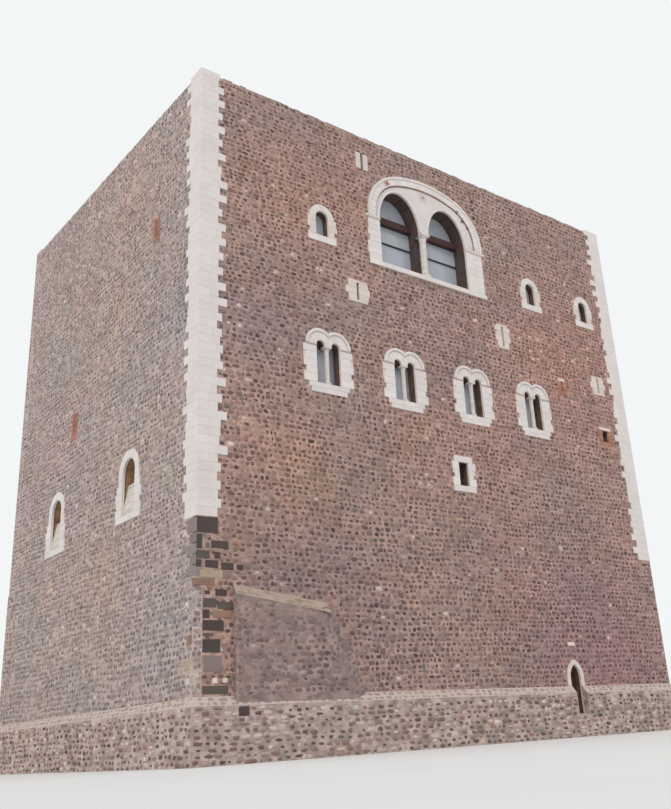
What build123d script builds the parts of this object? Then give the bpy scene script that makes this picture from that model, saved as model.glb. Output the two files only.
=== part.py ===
from build123d import *
import math
import os

# Castle keep, in millimetres. Origin at the middle of the plan on the ground, front towards -Y, +Z up.
# Each side is drawn in its own wall frame: X to the right as seen from outside, measured from the
# middle of the wall, Y inward from the outer face, Z up. Side frames are placed at the end.

# Overall size
WIDTH = 24300.0
DEPTH = 18000.0
HEIGHT = 25570.0
WALL_TOP = 25450.0
WALL = 2200.0

# Storey levels: top of each floor, which is also where one band of wall ends and the next starts
GROUND_FLOOR = 900.0
FIRST_FLOOR = 7600.0
HALL_FLOOR = 11800.0
UPPER_FLOOR = 18450.0
TERRACE = 24950.0
SLAB = 300.0
STOREYS = {
    "ground": (0.0, FIRST_FLOOR),
    "first": (FIRST_FLOOR, HALL_FLOOR),
    "hall": (HALL_FLOOR, UPPER_FLOOR),
    "upper": (UPPER_FLOOR, WALL_TOP),
}

# Rubble footing round the base
FOOTING_PROUD = 300.0
FOOTING_SHOULDER = 1700.0
FOOTING_TOP = 1980.0

# Corner quoins
PROUD = 30.0
QUOIN_FRONT = 650.0
QUOIN_SIDE = 660.0
QUOIN_TAIL = 300.0
LIMESTONE_COURSE = 620.0
BASALT_COURSE = 580.0
WORN_ARRIS = 220.0
WORN_TOP = 5400.0

# Repair facing low on the front wall, from the quoins to where it dies into the wall
FACING_START = 1330.0
FACING_TOP_START = 5450.0
FACING_TOP_END = 4950.0
FACING_END = 6900.0
FACING_TOP_LENGTH = 5200.0
FACING_PROUD = 210.0
FACING_WEATHERING = 330.0
FACING_TAPER = 800.0

# Four small double windows of the hall
BIFORA_FIRST = 5600.0
BIFORA_PITCH = 3900.0
BIFORA_COUNT = 4
BIFORA_FOOT = 12800.0
BIFORA_SILL = 13200.0
BIFORA_CROWN = 14980.0
BIFORA_LIGHT = 400.0
BIFORA_GAP = 320.0
BIFORA_LOBE_RADIUS = 660.0
BIFORA_LOBE_OFFSET = 400.0
BIFORA_LABEL = 110.0
BIFORA_POCKET_HALF = 850.0
BIFORA_POCKET_TOP = 15150.0
BIFORA_DEPTH = 400.0
BIFORA_GLASS = 480.0
BIFORA_SHAFT_RADIUS = 90.0
BIFORA_SHAFT_AXIS = 110.0

# Large double window of the upper storey
BIG_LIGHTS = 11270.0
BIG_SURROUND = 11470.0
BIG_SURROUND_HALF = 3400.0
BIG_FOOT = 19200.0
BIG_SILL = 19390.0
BIG_SPRING = 21550.0
BIG_TOP = 24260.0
BIG_CORNER_RADIUS = 2270.0
BIG_CORNER_LEVEL = 21800.0
BIG_RING = 420.0
BIG_ROLL = 120.0
BIG_GROOVE = 50.0
BIG_LAP = 200.0
BIG_LIGHT_HALF = 1160.0
BIG_LIGHT_SPRING = 21400.0
BIG_LIGHT_RISE = 1790.0
BIG_LIGHT_BAND = 120.0
BIG_COLUMN_GAP = 520.0
BIG_COLUMN_RADIUS = 150.0
BIG_COLUMN_AXIS = 120.0
BIG_PALE_DEPTH = 100.0
BIG_LINING_DEPTH = 750.0
BIG_MULLION_START = 380.0
BIG_BEAM_BOTTOM = 21720.0
BIG_BEAM_TOP = 22030.0
BIG_BEAM_FRONT = 500.0
BIG_RAIL = 20830.0
RAIL_SIZE = 60.0
BIG_IMPOST = 110.0
BIG_IMPOST_REACH = 160.0
BIG_SPRINGER_TOP = 22400.0
BIG_JOINT = 4.0

# Small arched windows of the upper storey
SMALL_CENTRES = (5560.0, 18100.0, 22080.0)
SMALL_HALF = 310.0
SMALL_FOOT = 19400.0
SMALL_SILL = 19700.0
SMALL_CROWN = 20850.0
SMALL_BAND = 290.0
SMALL_DEPTH = 350.0

# Slits with pale surrounds: centre, foot, head, half width of the surround
SLITS = (
    (7250.0, 17110.0, 18110.0, 600.0),
    (15750.0, 16870.0, 18100.0, 450.0),
    (22400.0, 15760.0, 16760.0, 540.0),
)
SLIT_HALF = 60.0
SLIT_MARGIN = 110.0
SLIT_DEPTH = 450.0

# Brick-framed openings: centre, foot, head, half width of the frame, half width of the opening
FRONT_BRICKS = (
    (22400.0, 13170.0, 14050.0, 520.0, 230.0),
    (19560.0, 15300.0, 16120.0, 300.0, 60.0),
)
LEFT_BRICKS = (
    (14400.0, 19520.0, 20660.0, 260.0, 60.0),
    (6900.0, 13290.0, 14630.0, 280.0, 60.0),
)
BRICK_DEPTH = 400.0
BRICK_LINTEL = 150.0

# Rectangular window of the first storey
SQUARE_CENTRE = 12370.0
SQUARE_HALF = 270.0
SQUARE_SILL = 9970.0
SQUARE_HEAD = 10980.0
SQUARE_MARGIN = 260.0
SQUARE_DEPTH = 400.0

# Slots just under the terrace
SLOT_CENTRE = 7880.0
SLOT_FOOT = 23690.0
SLOT_HEAD = 24600.0
SLOT_HALF = 70.0
PUTLOG_CENTRE = 14700.0
PUTLOG_LEVELS = (23500.0, 23950.0, 24400.0)
PUTLOG_SIZE = 220.0
PUTLOG_DEPTH = 450.0

# Lancets of the left wall, measured like the rest from the left end of their wall
LANCET_CENTRES = (5430.0, 12670.0)
LANCET_HALF = 530.0
LANCET_FOOT = 8520.0
LANCET_SILL = 8760.0
LANCET_CROWN = 10930.0
LANCET_BAND = 330.0
LANCET_PALE_DEPTH = 120.0
LANCET_LINING_DEPTH = 800.0
LANCET_LINING = 60.0
LANCET_SILL_LIP = 60.0
LANCET_SILL_RUN = 220.0
LANCET_SILL_RISE = 1240.0

# Postern
POSTERN_CENTRE = 17780.0
POSTERN_HALF = 325.0
POSTERN_SPRING = 2330.0
POSTERN_RISE = 520.0
POSTERN_RING = 190.0
POSTERN_DEPTH = 400.0

GLASS = 30.0
TOOTH = 110.0
TOOTH_COURSE = 360.0

# Straight facets that a full circle is cut in, for the small arches, the wide ones and the shafts
SMALL_FACETS = 12
WIDE_FACETS = 40
LOBE_FACETS = 16
ARCH_STEPS = 6
ELLIPSE_STEPS = 18
COLUMN_FACETS = 8
COLONNETTE_FACETS = 6


# Outlines in the plane of a wall

def rect(left, right, bottom, top):
    return Pos((left + right) / 2, (bottom + top) / 2) * Rectangle(right - left, top - bottom)


def disc(x, z, radius, facets):
    """Faceted circle with corners on its level and upright diameters."""
    return Pos(x, z) * RegularPolygon(radius, facets)


def arched(centre, half, sill, crown):
    """Opening with a round head."""
    spring = crown - half
    return rect(centre - half, centre + half, sill, spring) + disc(centre, spring, half, SMALL_FACETS)


def pointed(centre, half, sill, spring, rise, grow):
    """Opening under two arcs that meet in a point, grown outward all round but the sill."""
    radius = (rise ** 2 + half ** 2) / (2 * half)
    offset = radius - half
    left = disc(centre + offset, spring, radius + grow, WIDE_FACETS)
    right = disc(centre - offset, spring, radius + grow, WIDE_FACETS)
    head = left & right & rect(centre - radius, centre + radius, spring, spring + radius)
    return head + rect(centre - half - grow, centre + half + grow, sill, spring)


def toothed(centre, half, bottom, top, first_long=True):
    """Block of squared stones whose courses are long and short by turns on both sides."""
    outline = rect(centre - half, centre + half, bottom, top)
    count = max(2, round((top - bottom) / TOOTH_COURSE))
    course = (top - bottom) / count
    for i in range(count):
        if (i % 2 == 0) == first_long:
            z = bottom + i * course
            outline += rect(centre - half - TOOTH, centre + half + TOOTH, z, z + course)
    return outline


def slab(outline, near, far):
    """Solid between two depths behind the outer face of a wall."""
    plane = Plane((0, near, 0), x_dir=(1, 0, 0), z_dir=(0, -1, 0))
    return extrude(plane * outline, near - far)


def block(left, right, near, far, bottom, top):
    return slab(rect(left, right, bottom, top), near, far)


def along_front(distance):
    """Place on the front or back wall, from its distance to the wall's left end."""
    return distance - WIDTH / 2


def along_side(distance):
    return distance - DEPTH / 2


# Openings that each wall is cut through

def big_outline(inset):
    """Upright sides under a three-centred arch, whose corner arcs run smoothly into a flatter crown."""
    x = along_front(BIG_SURROUND)
    half = BIG_SURROUND_HALF - inset
    corner = BIG_CORNER_RADIUS
    shift = BIG_SURROUND_HALF - corner
    rise = BIG_TOP - BIG_CORNER_LEVEL
    crown = (shift ** 2 + rise ** 2 - corner ** 2) / (2 * (rise - corner))
    turn = math.asin(shift / (crown - corner))
    points = [(x - half, BIG_FOOT), (x + half, BIG_FOOT)]
    for centre, level, radius, start, end in (
        (x + shift, BIG_CORNER_LEVEL, corner, 0, math.pi / 2 - turn),
        (x, BIG_TOP - crown, crown, math.pi / 2 - turn, math.pi / 2 + turn),
        (x - shift, BIG_CORNER_LEVEL, corner, math.pi / 2 + turn, math.pi),
    ):
        for i in range(ARCH_STEPS + 1):
            angle = start + (end - start) * i / ARCH_STEPS
            reach = radius - inset
            points.append((centre + reach * math.cos(angle), level + reach * math.sin(angle)))
    corners = [p for i, p in enumerate(points) if i == 0 or math.dist(p, points[i - 1]) > 1]
    return Polygon(*corners, align=None)


def big_window_hole():
    """A lap smaller than the stone surround all round."""
    return big_outline(BIG_LAP)


def bifora_centres():
    return [along_front(BIFORA_FIRST + i * BIFORA_PITCH) for i in range(BIFORA_COUNT)]


def bifora_hole(x):
    return rect(x - BIFORA_POCKET_HALF, x + BIFORA_POCKET_HALF, BIFORA_FOOT + PROUD * 4, BIFORA_POCKET_TOP)


def small_window_hole(x):
    return arched(x, SMALL_HALF + SMALL_BAND / 2, SMALL_SILL - SMALL_BAND / 2, SMALL_CROWN + SMALL_BAND / 2)


def slit_hole(slit):
    centre, foot, head, half = slit
    x = along_front(centre)
    return rect(x - half + 150, x + half - 150, foot + SLIT_MARGIN, head - SLIT_MARGIN)


def brick_hole(brick, place):
    centre, foot, head, half, _ = brick
    x = place(centre)
    return rect(x - half + 60, x + half - 60, foot + 60, head - BRICK_LINTEL)


def square_window_hole():
    x = along_front(SQUARE_CENTRE)
    half = SQUARE_HALF + SQUARE_MARGIN / 2
    margin = SQUARE_MARGIN / 2
    return rect(x - half, x + half, SQUARE_SILL - margin, SQUARE_HEAD + margin)


def slot_hole():
    x = along_front(SLOT_CENTRE)
    return rect(x - SLOT_HALF, x + SLOT_HALF, SLOT_FOOT, SLOT_HEAD)


def lancet_hole(x):
    return arched(x, LANCET_HALF + LANCET_LINING, LANCET_SILL, LANCET_CROWN + LANCET_LINING)


def postern_outline(sill, grow=0.0):
    x = along_front(POSTERN_CENTRE)
    return pointed(x, POSTERN_HALF, sill, POSTERN_SPRING, POSTERN_RISE, grow)


def postern_hole():
    return postern_outline(GROUND_FLOOR, POSTERN_RING / 2)


def front_holes(storey):
    if storey == "first":
        return [square_window_hole()]
    if storey == "hall":
        windows = [bifora_hole(x) for x in bifora_centres()]
        return windows + [slit_hole(s) for s in SLITS] + [brick_hole(b, along_front) for b in FRONT_BRICKS]
    if storey == "upper":
        windows = [small_window_hole(along_front(c)) for c in SMALL_CENTRES]
        return windows + [big_window_hole(), slot_hole()]
    return []


def side_holes(storey):
    if storey == "first":
        return [lancet_hole(along_side(c)) for c in LANCET_CENTRES]
    if storey == "hall":
        return [brick_hole(LEFT_BRICKS[1], along_side)]
    if storey == "upper":
        return [brick_hole(LEFT_BRICKS[0], along_side)]
    return []


# Walls, footing and quoins

def corner_pockets():
    """Notches at both ends of a long wall, where the quoins are built in."""
    half = WIDTH / 2
    left = block(-half, -half + QUOIN_FRONT, 0, QUOIN_SIDE, 0, WALL_TOP)
    right = block(half - QUOIN_FRONT, half, 0, QUOIN_SIDE, 0, WALL_TOP)
    return left, right


def long_wall(storey, with_postern):
    bottom, top = STOREYS[storey]
    wall = block(-WIDTH / 2, WIDTH / 2, 0, WALL, bottom, top)
    for pocket in corner_pockets():
        wall -= pocket
    for hole in front_holes(storey):
        wall -= slab(hole, 0, WALL)
    if storey == "upper":
        for level in PUTLOG_LEVELS:
            wall -= slab(putlog(level), 0, PUTLOG_DEPTH)
    if with_postern:
        wall -= slab(postern_hole(), 0, WALL)
    return wall


def putlog(level):
    x = along_front(PUTLOG_CENTRE)
    half = PUTLOG_SIZE / 2
    return rect(x - half, x + half, level - half, level + half)


def short_wall(storey):
    bottom, top = STOREYS[storey]
    half = DEPTH / 2 - WALL
    wall = block(-half, half, 0, WALL, bottom, top)
    for hole in side_holes(storey):
        wall -= slab(hole, 0, WALL)
    return wall


def footing():
    """Ring of rough rubble with a sloping top, round the foot of the walls."""
    long = WIDTH + 2 * FOOTING_PROUD
    short = DEPTH + 2 * FOOTING_PROUD
    base = extrude(Rectangle(long, short), FOOTING_SHOULDER)
    slope = loft([
        Plane.XY.offset(FOOTING_SHOULDER) * Rectangle(long, short),
        Plane.XY.offset(FOOTING_TOP) * Rectangle(WIDTH + 2 * PROUD, DEPTH + 2 * PROUD),
    ])
    ring = base + slope - extrude(Rectangle(WIDTH + 2 * PROUD, DEPTH + 2 * PROUD), FOOTING_TOP)
    door = postern_outline(GROUND_FLOOR)
    return ring - SIDES["front"] * slab(door, -2 * FOOTING_PROUD, 0)


def quoin_pier(bottom, top, course):
    """Corner pier at a left end: a core in the wall and tails that lap both faces by turns."""
    left = -WIDTH / 2
    pier = block(left - PROUD, left + QUOIN_FRONT, -PROUD, QUOIN_SIDE, bottom, top)
    count = round((top - bottom) / course)
    step = (top - bottom) / count
    tails = []
    for i in range(count):
        low = bottom + i * step
        high = low + step
        if i % 2:
            tails.append(block(left + QUOIN_FRONT, left + QUOIN_FRONT + QUOIN_TAIL, -PROUD, 0, low, high))
        else:
            tails.append(block(left - PROUD, left, QUOIN_SIDE, QUOIN_SIDE + QUOIN_TAIL, low, high))
    return pier.fuse(*tails)


def quoins(bottom, top, course):
    """The four corners: front left, front right as its mirror image, and both turned to the back."""
    left = quoin_pier(bottom, top, course)
    right = mirror(left, Plane.YZ)
    return [SIDES[side] * pier for side in ("front", "back") for pier in (left, right)]


def basalt_quoins():
    """Dark quoins from the ground, with the arris of the front left corner worn away low down."""
    piers = quoins(0, FIRST_FLOOR, BASALT_COURSE)
    corner = Pos(-WIDTH / 2 - PROUD, -DEPTH / 2 - PROUD, (FOOTING_TOP + WORN_TOP) / 2)
    wear = corner * Rot(0, 0, 45) * Box(WORN_ARRIS * 1.414, WORN_ARRIS * 1.414, WORN_TOP - FOOTING_TOP)
    piers[0] = piers[0] - wear
    return piers


def repair_facing():
    """Low facing whose flat top slopes outward and down to the right, and whose end dies into the wall."""
    x = -WIDTH / 2
    outline = Polygon(
        (x + FACING_START, FOOTING_SHOULDER), (x + FACING_END, FOOTING_SHOULDER),
        (x + FACING_TOP_LENGTH, FACING_TOP_END), (x + FACING_START, FACING_TOP_START), align=None)
    front = Plane((0, -FACING_PROUD, 0), x_dir=(1, 0, 0), z_dir=(0, -1, 0))
    top = cutting_box(
        (x + FACING_START, 0, FACING_TOP_START), (x + FACING_TOP_LENGTH, 0, FACING_TOP_END),
        (x + FACING_START, -FACING_PROUD, FACING_TOP_START - FACING_WEATHERING))
    end = cutting_box(
        (x + FACING_TOP_LENGTH, 0, FACING_TOP_END), (x + FACING_END, 0, FOOTING_SHOULDER),
        (x + FACING_TOP_LENGTH - FACING_TAPER, -FACING_PROUD, FACING_TOP_END))
    solid = extrude(front * outline, -FACING_PROUD) - top - end
    return SIDES["front"] * solid - footing()


def cutting_box(start, end, third):
    """Large box that stands on the plane through three points, to plane away what is beyond it."""
    along = Vector(*end) - Vector(*start)
    normal = along.cross(Vector(*third) - Vector(*start))
    plane = Plane(Vector(*start), x_dir=along, z_dir=normal * (1 if normal.X + normal.Z > 0 else -1))
    return extrude(plane * Rectangle(2 * WIDTH, 2 * WIDTH), WALL)


# Large double window

def big_light_centres():
    x = along_front(BIG_LIGHTS)
    step = BIG_COLUMN_GAP / 2 + BIG_LIGHT_HALF
    return x - step, x + step


def big_lights(grow=0.0):
    """The two lights under half ellipses as one outline, or grown outward all round but the sill."""
    half = BIG_LIGHT_HALF + grow
    outlines = []
    for x in big_light_centres():
        points = [(x - half, BIG_SILL), (x + half, BIG_SILL)]
        for i in range(ELLIPSE_STEPS + 1):
            angle = math.pi * i / ELLIPSE_STEPS
            level = BIG_LIGHT_SPRING + (BIG_LIGHT_RISE + grow) * math.sin(angle)
            points.append((x + half * math.cos(angle), level))
        outlines.append(Polygon(*points, align=None))
    return outlines[0] + outlines[1]


def big_sill():
    x = along_front(BIG_SURROUND)
    half = BIG_SURROUND_HALF
    face = block(x - half - 60, x + half + 60, -2 * PROUD, 0, BIG_FOOT - 40, BIG_SILL)
    bed = block(x - half + BIG_LAP, x + half - BIG_LAP, 0, BIG_LINING_DEPTH, BIG_FOOT, BIG_SILL)
    return face + bed


def big_jambs():
    """Plain jamb slabs with an impost moulding, wider on the right."""
    x = along_front(BIG_SURROUND)
    left_light, right_light = big_light_centres()
    inner_left = left_light - BIG_LIGHT_HALF
    inner_right = right_light + BIG_LIGHT_HALF
    jambs = []
    for outer, inner, lap in (
        (x - BIG_SURROUND_HALF, inner_left, BIG_LAP),
        (x + BIG_SURROUND_HALF, inner_right, -BIG_LAP),
    ):
        low, high = min(outer, inner), max(outer, inner)
        face = block(low, high, -PROUD, 0, BIG_SILL, BIG_SPRING)
        bed_low, bed_high = min(outer + lap, inner), max(outer + lap, inner)
        bed = block(bed_low, bed_high, 0, BIG_PALE_DEPTH, BIG_SILL, BIG_SPRING)
        end = outer - math.copysign(BIG_IMPOST_REACH, lap)
        impost = block(min(end, inner), max(end, inner), -3 * PROUD, 0, BIG_SPRING - BIG_IMPOST, BIG_SPRING)
        jambs.append(face + bed + impost)
    return jambs


def above_spring(outline):
    x = along_front(BIG_SURROUND)
    half = BIG_SURROUND_HALF
    return outline & rect(x - half, x + half, BIG_SPRING, BIG_TOP)


def big_arch_ring():
    """Outer archivolt: a face band that laps the wall, a bed inside the hole and a roll on the edge."""
    inner = big_outline(BIG_RING)
    face = slab(above_spring(big_outline(0) - inner), -2 * PROUD, 0)
    bed = slab(above_spring(big_outline(BIG_LAP) - inner), 0, BIG_PALE_DEPTH)
    roll = slab(above_spring(big_outline(0) - big_outline(BIG_ROLL)), -3 * PROUD, -2 * PROUD)
    return face + bed + roll


def big_tympanum():
    """Plate inside the ring on three springing stones, with both arches cut out and a band round each."""
    outline = big_outline(BIG_RING + BIG_GROOVE)
    plate = slab(above_spring(outline - big_lights()), 0, BIG_PALE_DEPTH)
    bands = (big_lights(BIG_LIGHT_BAND) - big_lights()) & outline
    x = along_front(BIG_SURROUND)
    half = BIG_SURROUND_HALF
    bed_top = BIG_SPRINGER_TOP + BIG_JOINT
    joint = block(x - half, x + half, -PROUD, BIG_PALE_DEPTH, BIG_SPRINGER_TOP, bed_top)
    return (plate + slab(above_spring(bands), -PROUD, 0) - joint).solids()


def big_lining():
    """Dark reveal behind the pale stone, round both lights, with a pier behind the column."""
    lining = slab(big_window_hole() - big_lights(), BIG_PALE_DEPTH, BIG_LINING_DEPTH)
    x = along_front(BIG_SURROUND)
    half = BIG_SURROUND_HALF
    sill_bed = block(x - half, x + half, 0, BIG_LINING_DEPTH, BIG_FOOT, BIG_SILL)
    column = along_front(BIG_LIGHTS)
    gap = BIG_COLUMN_GAP / 2
    room = block(column - gap, column + gap, 0, BIG_MULLION_START, BIG_SILL, BIG_SPRING)
    return lining - sill_bed - room


def big_frame():
    """Dark timber beam and thin rail across each light."""
    bars = []
    for x in big_light_centres():
        left = x - BIG_LIGHT_HALF
        right = x + BIG_LIGHT_HALF
        beam = rect(left, right, BIG_BEAM_BOTTOM, BIG_BEAM_TOP) & big_lights()
        bars.append(slab(beam, BIG_BEAM_FRONT, BIG_LINING_DEPTH))
        rail_front = BIG_LINING_DEPTH - RAIL_SIZE
        bars.append(block(left, right, rail_front, BIG_LINING_DEPTH, BIG_RAIL, BIG_RAIL + RAIL_SIZE))
    return bars


def big_glass():
    return slab(big_window_hole(), BIG_LINING_DEPTH, BIG_LINING_DEPTH + GLASS)


def shaft_piece(facets, bottom, top, low_radius, high_radius):
    """One stretch of a many-sided shaft with flat sides, straight or tapered."""
    rings = []
    for radius, level in ((low_radius, bottom), (high_radius, top)):
        angles = [2 * math.pi * i / facets for i in range(facets)]
        rings.append([Vector(radius * math.cos(a), radius * math.sin(a), level) for a in angles])
    low, high = rings
    outlines = [low, high]
    for i in range(facets):
        outlines.append([low[i - 1], low[i], high[i], high[i - 1]])
    return Solid(Shell([Face(Wire.make_polygon(outline)) for outline in outlines]))


def turned_column(radius, bottom, top, plinth, abacus, facets, bands):
    """Shaft on a square plinth and moulded base, with ring bands, a flared capital and a square abacus."""
    foot = bottom + 0.4 * plinth
    shaft_bottom = foot + 0.8 * radius
    bell_top = top - 0.25 * abacus
    bell_bottom = bell_top - 2 * radius
    column = Pos(0, 0, (bottom + foot) / 2) * Box(plinth, plinth, foot - bottom)
    column += shaft_piece(facets, foot, shaft_bottom, 1.25 * radius, radius)
    column += shaft_piece(facets, shaft_bottom, bell_bottom, radius, radius)
    column += shaft_piece(facets, bell_bottom, bell_top, radius, 1.35 * radius)
    column += Pos(0, 0, (bell_top + top) / 2) * Box(abacus, abacus, top - bell_top)
    for share in bands:
        z = shaft_bottom + share * (bell_bottom - shaft_bottom)
        column += shaft_piece(facets, z - 0.18 * radius, z + 0.18 * radius, 1.12 * radius, 1.12 * radius)
    return column


def big_column():
    radius = BIG_COLUMN_RADIUS
    bands = (0.2, 0.45, 0.7)
    column = turned_column(radius, BIG_SILL, BIG_SPRING, 2.4 * radius, 3.3 * radius, COLUMN_FACETS, bands)
    return Pos(along_front(BIG_LIGHTS), BIG_COLUMN_AXIS, 0) * column


# Small double windows

def bifora_spring():
    return BIFORA_CROWN - BIFORA_LIGHT / 2


def bifora_lights(x):
    step = (BIFORA_GAP + BIFORA_LIGHT) / 2
    half = BIFORA_LIGHT / 2
    left = arched(x - step, half, BIFORA_SILL, BIFORA_CROWN)
    return left + arched(x + step, half, BIFORA_SILL, BIFORA_CROWN)


def bifora_sill(x):
    half = BIFORA_POCKET_HALF
    face = toothed(x, half, BIFORA_FOOT, BIFORA_SILL, first_long=False)
    bed = rect(x - half, x + half, BIFORA_FOOT + PROUD * 4, BIFORA_SILL)
    return slab(face, -PROUD, 0) + slab(bed, 0, BIFORA_DEPTH)


def bifora_jambs(x):
    inner = BIFORA_GAP / 2 + BIFORA_LIGHT
    outer = BIFORA_POCKET_HALF + 2 * TOOTH
    both = toothed(x, outer, BIFORA_SILL, bifora_spring())
    bed = rect(x - BIFORA_POCKET_HALF, x + BIFORA_POCKET_HALF, BIFORA_SILL, bifora_spring())
    jambs = []
    for low, high in ((x - 2 * outer, x - inner), (x + inner, x + 2 * outer)):
        part = rect(low, high, BIFORA_SILL, bifora_spring())
        impost = block(
            max(low, x - outer), min(high, x + outer), -2 * PROUD, 0, bifora_spring() - 70, bifora_spring())
        jambs.append(slab(both & part, -PROUD, 0) + slab(bed & part, 0, BIFORA_DEPTH) + impost)
    return jambs


def bifora_lobes(x, radius):
    spring = bifora_spring()
    discs = disc(x - BIFORA_LOBE_OFFSET, spring, radius, LOBE_FACETS)
    discs += disc(x + BIFORA_LOBE_OFFSET, spring, radius, LOBE_FACETS)
    reach = BIFORA_LOBE_OFFSET + radius
    return discs & rect(x - reach, x + reach, spring, spring + radius)


def bifora_head(x):
    """Two-lobed head with the round heads of both lights and a raised label along its edge."""
    radius = BIFORA_LOBE_RADIUS
    field = bifora_lobes(x, radius) - bifora_lights(x)
    label = bifora_lobes(x, radius) - bifora_lobes(x, radius - BIFORA_LABEL)
    bed = rect(x - BIFORA_POCKET_HALF, x + BIFORA_POCKET_HALF, bifora_spring(), BIFORA_POCKET_TOP)
    inner = slab(bed - bifora_lights(x), 0, BIFORA_DEPTH)
    return slab(field, -PROUD, 0) + inner + slab(label, -2.5 * PROUD, -PROUD)


def bifora_colonnette(x):
    radius = BIFORA_SHAFT_RADIUS
    top = bifora_spring()
    column = turned_column(radius, BIFORA_SILL, top, 2.4 * radius, 3.4 * radius, COLONNETTE_FACETS, ())
    return Pos(x, BIFORA_SHAFT_AXIS, 0) * column


def bifora_glass(x):
    return slab(bifora_hole(x), BIFORA_GLASS, BIFORA_GLASS + GLASS)


# Other openings

def small_window(x):
    """Arched surround with toothed feet."""
    opening = arched(x, SMALL_HALF, SMALL_SILL, SMALL_CROWN)
    face = arched(x, SMALL_HALF + SMALL_BAND, SMALL_FOOT, SMALL_CROWN + SMALL_BAND)
    face += toothed(x, SMALL_HALF + SMALL_BAND, SMALL_FOOT, SMALL_CROWN - SMALL_HALF)
    return slab(face - opening, -PROUD, 0) + slab(small_window_hole(x) - opening, 0, SMALL_DEPTH)


def slit_surround(slit):
    centre, foot, head, half = slit
    x = along_front(centre)
    opening = rect(x - SLIT_HALF, x + SLIT_HALF, foot + SLIT_MARGIN, head - SLIT_MARGIN)
    face = toothed(x, half - TOOTH, foot, head, first_long=False)
    return slab(face - opening, -PROUD, 0) + slab(slit_hole(slit) - opening, 0, SLIT_DEPTH)


def brick_frame(brick, place):
    """Brick jambs and sill round the opening, up to the underside of the lintel."""
    centre, foot, head, half, opening_half = brick
    x = place(centre)
    top = head - BRICK_LINTEL
    opening = rect(x - opening_half, x + opening_half, foot + 130, top)
    face = rect(x - half, x + half, foot, top)
    return slab(face - opening, -PROUD, 0) + slab(brick_hole(brick, place) - opening, 0, BRICK_DEPTH)


def brick_lintel(brick, place):
    centre, _, head, half, _ = brick
    x = place(centre)
    return block(x - 0.8 * half, x + 0.8 * half, -PROUD, 0, head - BRICK_LINTEL, head)


def square_window():
    x = along_front(SQUARE_CENTRE)
    opening = rect(x - SQUARE_HALF, x + SQUARE_HALF, SQUARE_SILL, SQUARE_HEAD)
    foot = SQUARE_SILL - SQUARE_MARGIN
    head = SQUARE_HEAD + SQUARE_MARGIN
    face = toothed(x, SQUARE_HALF + SQUARE_MARGIN, foot, head)
    return slab(face - opening, -PROUD, 0) + slab(square_window_hole() - opening, 0, SQUARE_DEPTH)


def slot_stones():
    """Two upright pale stones beside the slot."""
    x = along_front(SLOT_CENTRE)
    stones = []
    for side in (-1, 1):
        low = x + side * (SLOT_HALF + 130) - 130
        stones.append(block(low, low + 260, -PROUD, 0, SLOT_FOOT + 60, SLOT_HEAD - 40))
    return stones


def lancet_surround(x):
    """Narrow band round the arch with toothed jambs."""
    opening = arched(x, LANCET_HALF, LANCET_SILL, LANCET_CROWN)
    face = arched(x, LANCET_HALF + LANCET_BAND, LANCET_FOOT, LANCET_CROWN + LANCET_BAND)
    face += toothed(x, LANCET_HALF + LANCET_BAND + TOOTH, LANCET_FOOT, LANCET_CROWN - 1.8 * LANCET_HALF)
    bed = lancet_hole(x) - opening
    return slab(face - opening, -PROUD, 0) + slab(bed, 0, LANCET_PALE_DEPTH)


def lancet_sill(x):
    """Steep sill that rises inward between the jambs and then runs level to the glass."""
    top = LANCET_SILL + LANCET_SILL_RISE
    profile = Polygon(
        (0, LANCET_SILL), (LANCET_LINING_DEPTH, LANCET_SILL), (LANCET_LINING_DEPTH, top),
        (LANCET_SILL_RUN, top), (0, LANCET_SILL + LANCET_SILL_LIP), align=None)
    plane = Plane((x - LANCET_HALF, 0, 0), x_dir=(0, 1, 0), z_dir=(1, 0, 0))
    return extrude(plane * profile, 2 * LANCET_HALF)


def lancet_lining(x):
    opening = arched(x, LANCET_HALF, LANCET_SILL, LANCET_CROWN)
    return slab(lancet_hole(x) - opening, LANCET_PALE_DEPTH, LANCET_LINING_DEPTH)


def lancet_glass(x):
    return slab(lancet_hole(x), LANCET_LINING_DEPTH, LANCET_LINING_DEPTH + GLASS)


def postern_arch():
    """Pale voussoir ring down to the springing stones."""
    opening = postern_outline(GROUND_FLOOR)
    face = postern_outline(FOOTING_TOP, POSTERN_RING) - opening
    return slab(face, -PROUD, 0) + slab(postern_hole() - opening, 0, POSTERN_DEPTH)


def small_window_glass(x):
    return slab(small_window_hole(x), SMALL_DEPTH, SMALL_DEPTH + GLASS)


# Floors

def floor(top, thickness):
    size = Rectangle(WIDTH - 2 * WALL, DEPTH - 2 * WALL)
    return Pos(0, 0, top - thickness) * extrude(size, thickness)


SIDES = {
    "front": Location((0, -DEPTH / 2, 0)),
    "back": Location((0, DEPTH / 2, 0), (0, 0, 180)),
    "left": Location((-WIDTH / 2, 0, 0), (0, 0, -90)),
    "right": Location((WIDTH / 2, 0, 0), (0, 0, 90)),
}


def on_long_walls(pieces):
    return [SIDES[side] * piece for side in ("front", "back") for piece in pieces]


def on_short_walls(pieces):
    return [SIDES[side] * piece for side in ("left", "right") for piece in pieces]


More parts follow.
